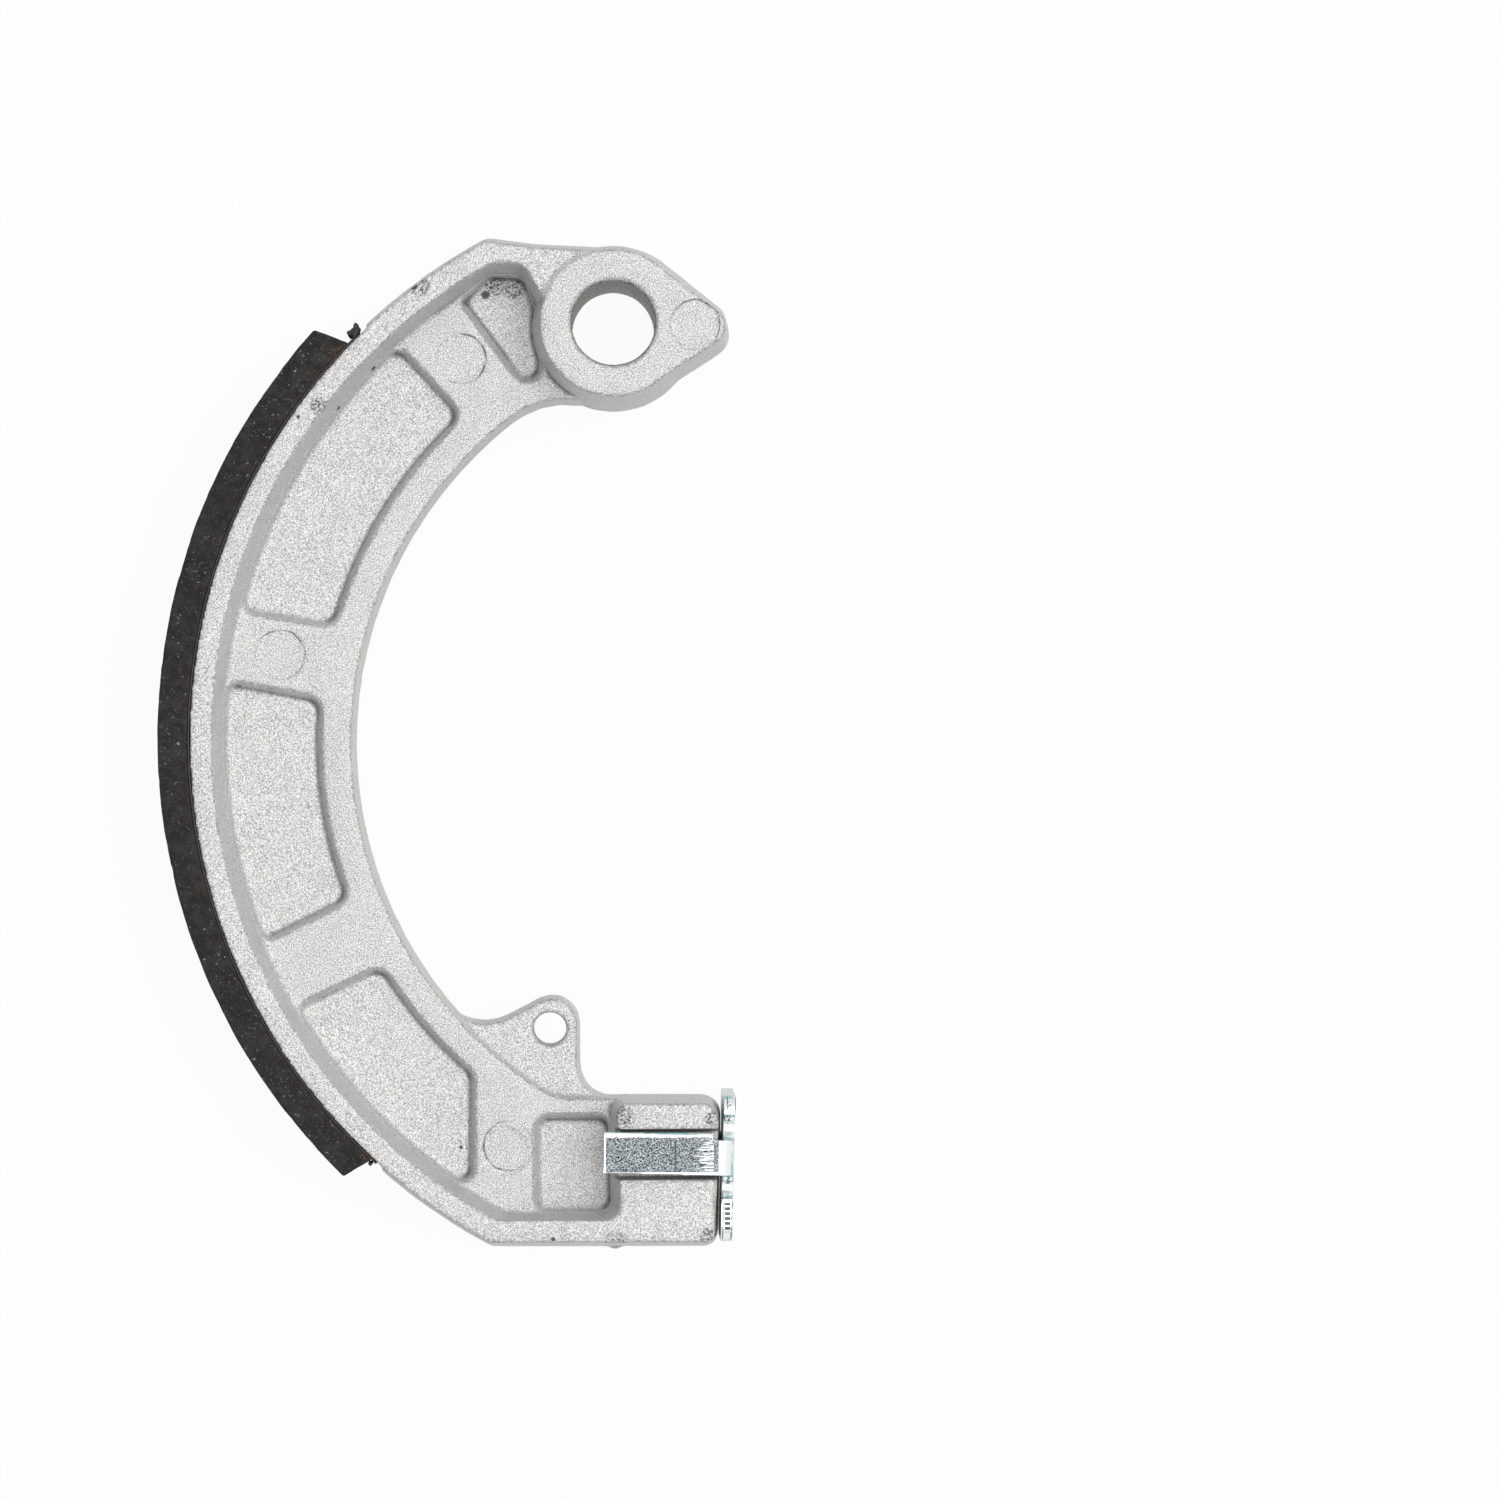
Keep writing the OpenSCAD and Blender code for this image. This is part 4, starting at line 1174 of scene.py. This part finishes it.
def add_camera(scene):
    """The camera above the shoe, turned so that +Y runs up the picture."""
    view = bpy.data.cameras.new("camera")
    view.lens = CAMERA_LENS
    view.sensor_width = CAMERA_SENSOR
    view.clip_start, view.clip_end = 0.01, 10
    camera = bpy.data.objects.new("camera", view)
    back = (CAMERA_PLACE - CAMERA_AIM).normalized()
    right = Vector((0, 1, 0)).cross(back).normalized()
    camera.matrix_world = Matrix((right, back.cross(right), back)).transposed().to_4x4()
    camera.location = CAMERA_PLACE
    scene.collection.objects.link(camera)
    scene.camera = camera


class BRAKESHOE_OT_stage(bpy.types.Operator):
    """Adds the white floor, the soft light and the camera"""

    bl_idname = "brake_shoe.stage"
    bl_label = "Add stage"

    def execute(self, context):
        chosen = settings("stage")
        context.scene.view_settings.view_transform = "Standard"
        add_world(context.scene, chosen.ambient)
        add_floor(context.scene)
        add_key_light(context.scene, chosen.key)
        add_camera(context.scene)
        return {"FINISHED"}


OPERATORS = (
    BRAKESHOE_OT_casting,
    BRAKESHOE_OT_lining,
    BRAKESHOE_OT_bond,
    BRAKESHOE_OT_cap,
    BRAKESHOE_OT_stage,
)


class BRAKESHOE_PT_panel(bpy.types.Panel):
    """Lists the pieces of the brake shoe and their settings"""

    bl_label = "Brake shoe"
    bl_space_type = "VIEW_3D"
    bl_region_type = "UI"
    bl_category = "Brake shoe"

    def draw(self, context):
        for (name, group), operator in zip(GROUPS.items(), OPERATORS):
            box = self.layout.box()
            for key in group.__annotations__:
                box.prop(settings(name), key)
            box.operator(operator.bl_idname)


CLASSES = (*GROUPS.values(), *OPERATORS, BRAKESHOE_PT_panel)


def register():
    """Makes the pieces, the panel and the settings known to Blender."""
    for cls in CLASSES:
        bpy.utils.register_class(cls)
    for name, group in GROUPS.items():
        setattr(bpy.types.Scene, "brake_shoe_" + name, PointerProperty(type=group))


def unregister():
    """Takes them out again."""
    for name in GROUPS:
        delattr(bpy.types.Scene, "brake_shoe_" + name)
    for cls in reversed(CLASSES):
        bpy.utils.unregister_class(cls)


def main():
    """Builds the stage and the four pieces."""
    register()
    bpy.ops.brake_shoe.stage()
    bpy.ops.brake_shoe.casting()
    bpy.ops.brake_shoe.lining()
    bpy.ops.brake_shoe.bond()
    bpy.ops.brake_shoe.cap()


if __name__ == "__main__":
    main()
